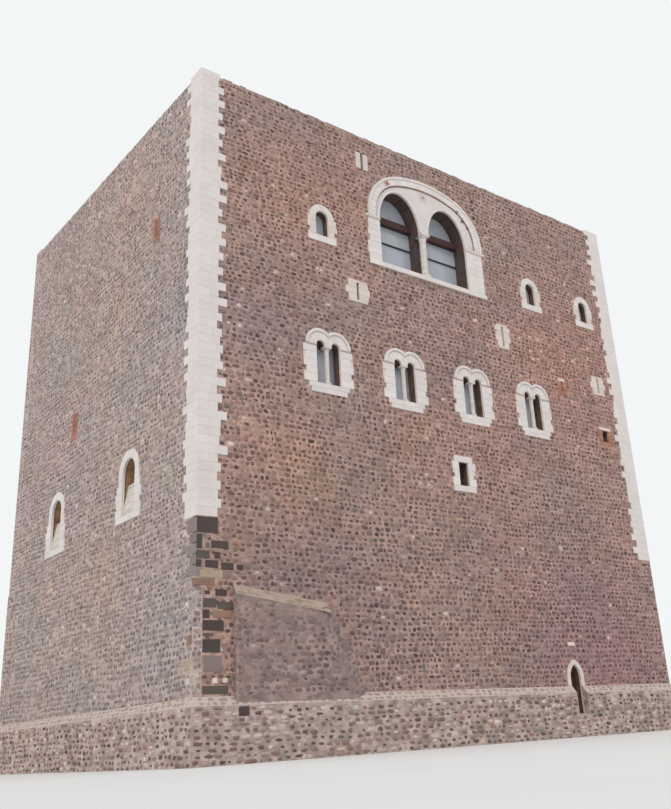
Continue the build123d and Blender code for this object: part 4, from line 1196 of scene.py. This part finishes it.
def build_wall_top():
    """Uneven stones along both edges of the wall head, and rubble between them."""
    edge = Piece()
    middle = Piece()
    room = CAP_TOP - WALL_TOP - 0.01
    for side, face in FACES.items():
        long = side in LONG
        half = face.half if long else face.half - WALL
        top = Face(face.origin + WALL_TOP * face.up, face.right, -face.out, 2 * half, WALL)
        top.free[:] = 1
        on = Dressing(edge, top)
        shade = (0.20, 0.145, 0.13) if long else (0.28, 0.225, 0.205)
        clear = 0.96 if long else 0.0
        marks = split(-half + clear, half - clear, 0.34, 0.45)
        for depth in (0.0, WALL - EDGE_DEPTH):
            for a, b in pairwise(marks):
                if depth and max(abs(a), abs(b)) > HALF_WIDTH - WALL:
                    continue
                height = room * (0.35 + 0.45 * rng.random())
                reach = depth + rng.uniform(0.24, EDGE_DEPTH)
                on.box(a, b, depth + 0.01, reach, shade, near=-0.02, far=height, vary=0.3, chamfer=0.02,
                       joint=0.02)
        colours = partial(stone_colours, shades=STONES_SIDE, chips=0.01, seed=81)
        lay_rubble(middle, top, (-half, half, 0.34, WALL - 0.34), 0.30, 0.26, colours, proud=(0.01, 0.04))
    edge.finish("wall_top_edge_stones", MATERIALS["rubble"], "lava_rubble")
    middle.finish("wall_top_rubble", MATERIALS["rubble"], "lava_rubble", smooth=True)


# Stage, camera and light

BACKGROUND = (0.90, 0.92, 0.93)
AMBIENT = 0.78
FLOOR_REACH = 600.0


def build_stage():
    """A pale floor that fades into the background far out."""
    mesh = bpy.data.meshes.new("floor_sheet")
    ring = [(x * FLOOR_REACH, y * FLOOR_REACH, 0) for x, y in ((-1, -1), (1, -1), (1, 1), (-1, 1))]
    mesh.from_pydata(ring, [], [(0, 1, 2, 3)])
    floor = add_object("floor_sheet", mesh)
    floor.location.z = -0.002
    s = Shader("pale_floor", 0.9)
    s.colour(s.mix(s.noise(0.2, 2.0), (0.80, 0.80, 0.79), (0.84, 0.84, 0.83)))
    far = s.spread(s.vector("LENGTH", s.place)["Value"], 35.0, 120.0)
    glow = s.node("ShaderNodeEmission", Color=BACKGROUND, Strength=1.0)
    blend = s.node("ShaderNodeMixShader")
    for socket, value in zip(blend.inputs, (far, s.surface.outputs[0], glow.outputs[0])):
        s.set(socket, value)
    s.set(s.tree.nodes["Material Output"].inputs[0], blend.outputs[0])
    mesh.materials.append(s.material)


def build_light():
    """A soft sun, and a sky that the camera and the glass see brighter than it lights the stone."""
    world = bpy.data.worlds.new("pale_sky")
    bpy.context.scene.world = world
    world.use_nodes = True
    s = Nodes(world.node_tree)
    ray = s.node("ShaderNodeLightPath").outputs
    mirrored = s.math("MAXIMUM", ray["Is Glossy Ray"], ray["Is Transmission Ray"])
    seen = s.math("MAXIMUM", ray["Is Camera Ray"], mirrored)
    background = s.tree.nodes["Background"].inputs
    s.set(background["Color"], BACKGROUND)
    s.set(background["Strength"], s.spread(seen, 0.0, 1.0, AMBIENT, 1.0))
    sun = bpy.data.lights.new("soft_sun", "SUN")
    sun.energy = 1.1
    sun.angle = math.radians(25)
    sun.color = (1.0, 0.97, 0.94)
    lamp = add_object("soft_sun", sun)
    lamp.rotation_euler = Vector((0.75, 0.62, -0.85)).to_track_quat("-Z", "Y").to_euler()


IMAGE = (671, 809)
FOCAL = 931.2
PRINCIPAL = (381.56, 372.17)
CAMERA_PLACE = (-26.561, -35.865, 0.55)
YAW, PITCH, ROLL = 40.148, 21.279, -3.756


def build_camera():
    """The photo's own view: yaw from +Y towards +X, pitch up, then roll."""
    data = bpy.data.cameras.new("camera")
    camera = add_object("camera", data)
    yaw, pitch, roll = (math.radians(a) for a in (YAW, PITCH, ROLL))
    ahead = Vector((math.sin(yaw) * math.cos(pitch), math.cos(yaw) * math.cos(pitch), math.sin(pitch)))
    right = Vector((math.cos(yaw), -math.sin(yaw), 0))
    up = right.cross(ahead)
    right_rolled = math.cos(roll) * right + math.sin(roll) * up
    up_rolled = -math.sin(roll) * right + math.cos(roll) * up
    turn = Matrix((right_rolled, up_rolled, -ahead)).transposed().to_4x4()
    camera.matrix_world = Matrix.Translation(CAMERA_PLACE) @ turn
    data.sensor_fit = "AUTO"
    data.sensor_width = 36.0
    data.lens = FOCAL / max(IMAGE) * data.sensor_width
    data.shift_x = (IMAGE[0] / 2 - PRINCIPAL[0]) / max(IMAGE)
    data.shift_y = (PRINCIPAL[1] - IMAGE[1] / 2) / max(IMAGE)
    data.clip_end = 2000
    bpy.context.scene.camera = camera


# Everything in place

def build_dressings():
    dressed = Piece()
    bricks = Piece()
    for side in LONG:
        on = Dressing(dressed, FACES[side])
        for x in BIFORA_CENTRES:
            lay_bifora(on, x)
        for x in SMALL_CENTRES:
            lay_small_window(on, x)
        for slit in SLITS:
            lay_slit(on, slit)
        lay_square_window(on)
        lay_slot(on)
        lay_big_window(on)
        for opening in FRONT_BRICKS:
            lay_bricks(Dressing(bricks, on.face), opening, on)
    lay_postern(Dressing(dressed, FACES["front"]))
    for side in SHORT:
        for x in LANCETS:
            lay_lancet(Dressing(dressed, FACES[side]), x)
        for opening in SIDE_BRICKS:
            lay_bricks(Dressing(bricks, FACES[side]), opening)
    dressed.finish("window_stones", MATERIALS["dressed"], "pale_limestone")
    bricks.finish("window_bricks", MATERIALS["brick"], "red_brick")


def build_quoins():
    white = Piece()
    lay_quoins(white, LIMESTONE_FOOT, CAP_TOP, QUOIN_COURSE, LIMESTONE)
    white.finish("white_quoin_stones", MATERIALS["dressed"], "white_limestone")
    build_quoin_cores()
    blocks = Piece()
    lay_corner_blocks(blocks)
    blocks.finish("corner_blocks", MATERIALS["basalt"], "basalt_blocks")


WORN_LEG = 0.22
WORN_TOP = 5.36


def lay_worn_arris():
    """Rubble on the slanting face where the near corner's arris is worn away."""
    piece = Piece()
    half = WORN_LEG / math.sqrt(2)
    inward = PROUD - WORN_LEG / 2
    place = (-HALF_WIDTH - inward, -HALF_DEPTH - inward, 0)
    slant = Face(place, (math.sqrt(0.5), -math.sqrt(0.5), 0), (0, 0, 1), 2 * half, WORN_TOP)

    def colours(u, v, draw):
        return stone_colours(u + HALF_DEPTH, v, draw, STONES_SIDE, 0.01, 97, SIDE_PATCHES)

    lay_rubble(piece, slant, (-half, half, FOOTING_TOP, WORN_TOP), 0.17, 0.19, colours, fill=(0.6, 1.05),
               allowed=within(half, FOOTING_TOP + 0.02, WORN_TOP))
    piece.finish("worn_arris_stones", MATERIALS["rubble"], "basalt_blocks", smooth=True)


def build_rubble():
    lay_worn_arris()
    for number, (side, face) in enumerate(FACES.items()):
        long = side in LONG
        shades = STONES_FRONT if long else STONES_SIDE
        patches = FRONT_PATCHES if long else SIDE_PATCHES
        piece = Piece()
        area = (-face.half, face.half, FOOTING_TOP, WALL_TOP)

        def colours(u, v, draw):
            colour = stone_colours(u, v, draw, shades, 0.008 if long else 0.012, 20 + number, patches)
            for x, z in PALE_STONES if side == "front" else ():
                colour[np.argmin((u - x) ** 2 + (v - z) ** 2)] = PALE_CHIP
            return colour

        lay_rubble(piece, face, area, 0.25, 0.19, colours)
        piece.finish(f"{side}_rubble_stones", MATERIALS["rubble"], "lava_rubble", smooth=True)


prepare_faces()
build_camera()
build_light()
build_stage()
finish_nodes()
build_quoins()
build_dressings()
build_footing()
build_facing()
build_wall_top()
build_rubble()

bpy.context.scene.view_settings.view_transform = "Standard"
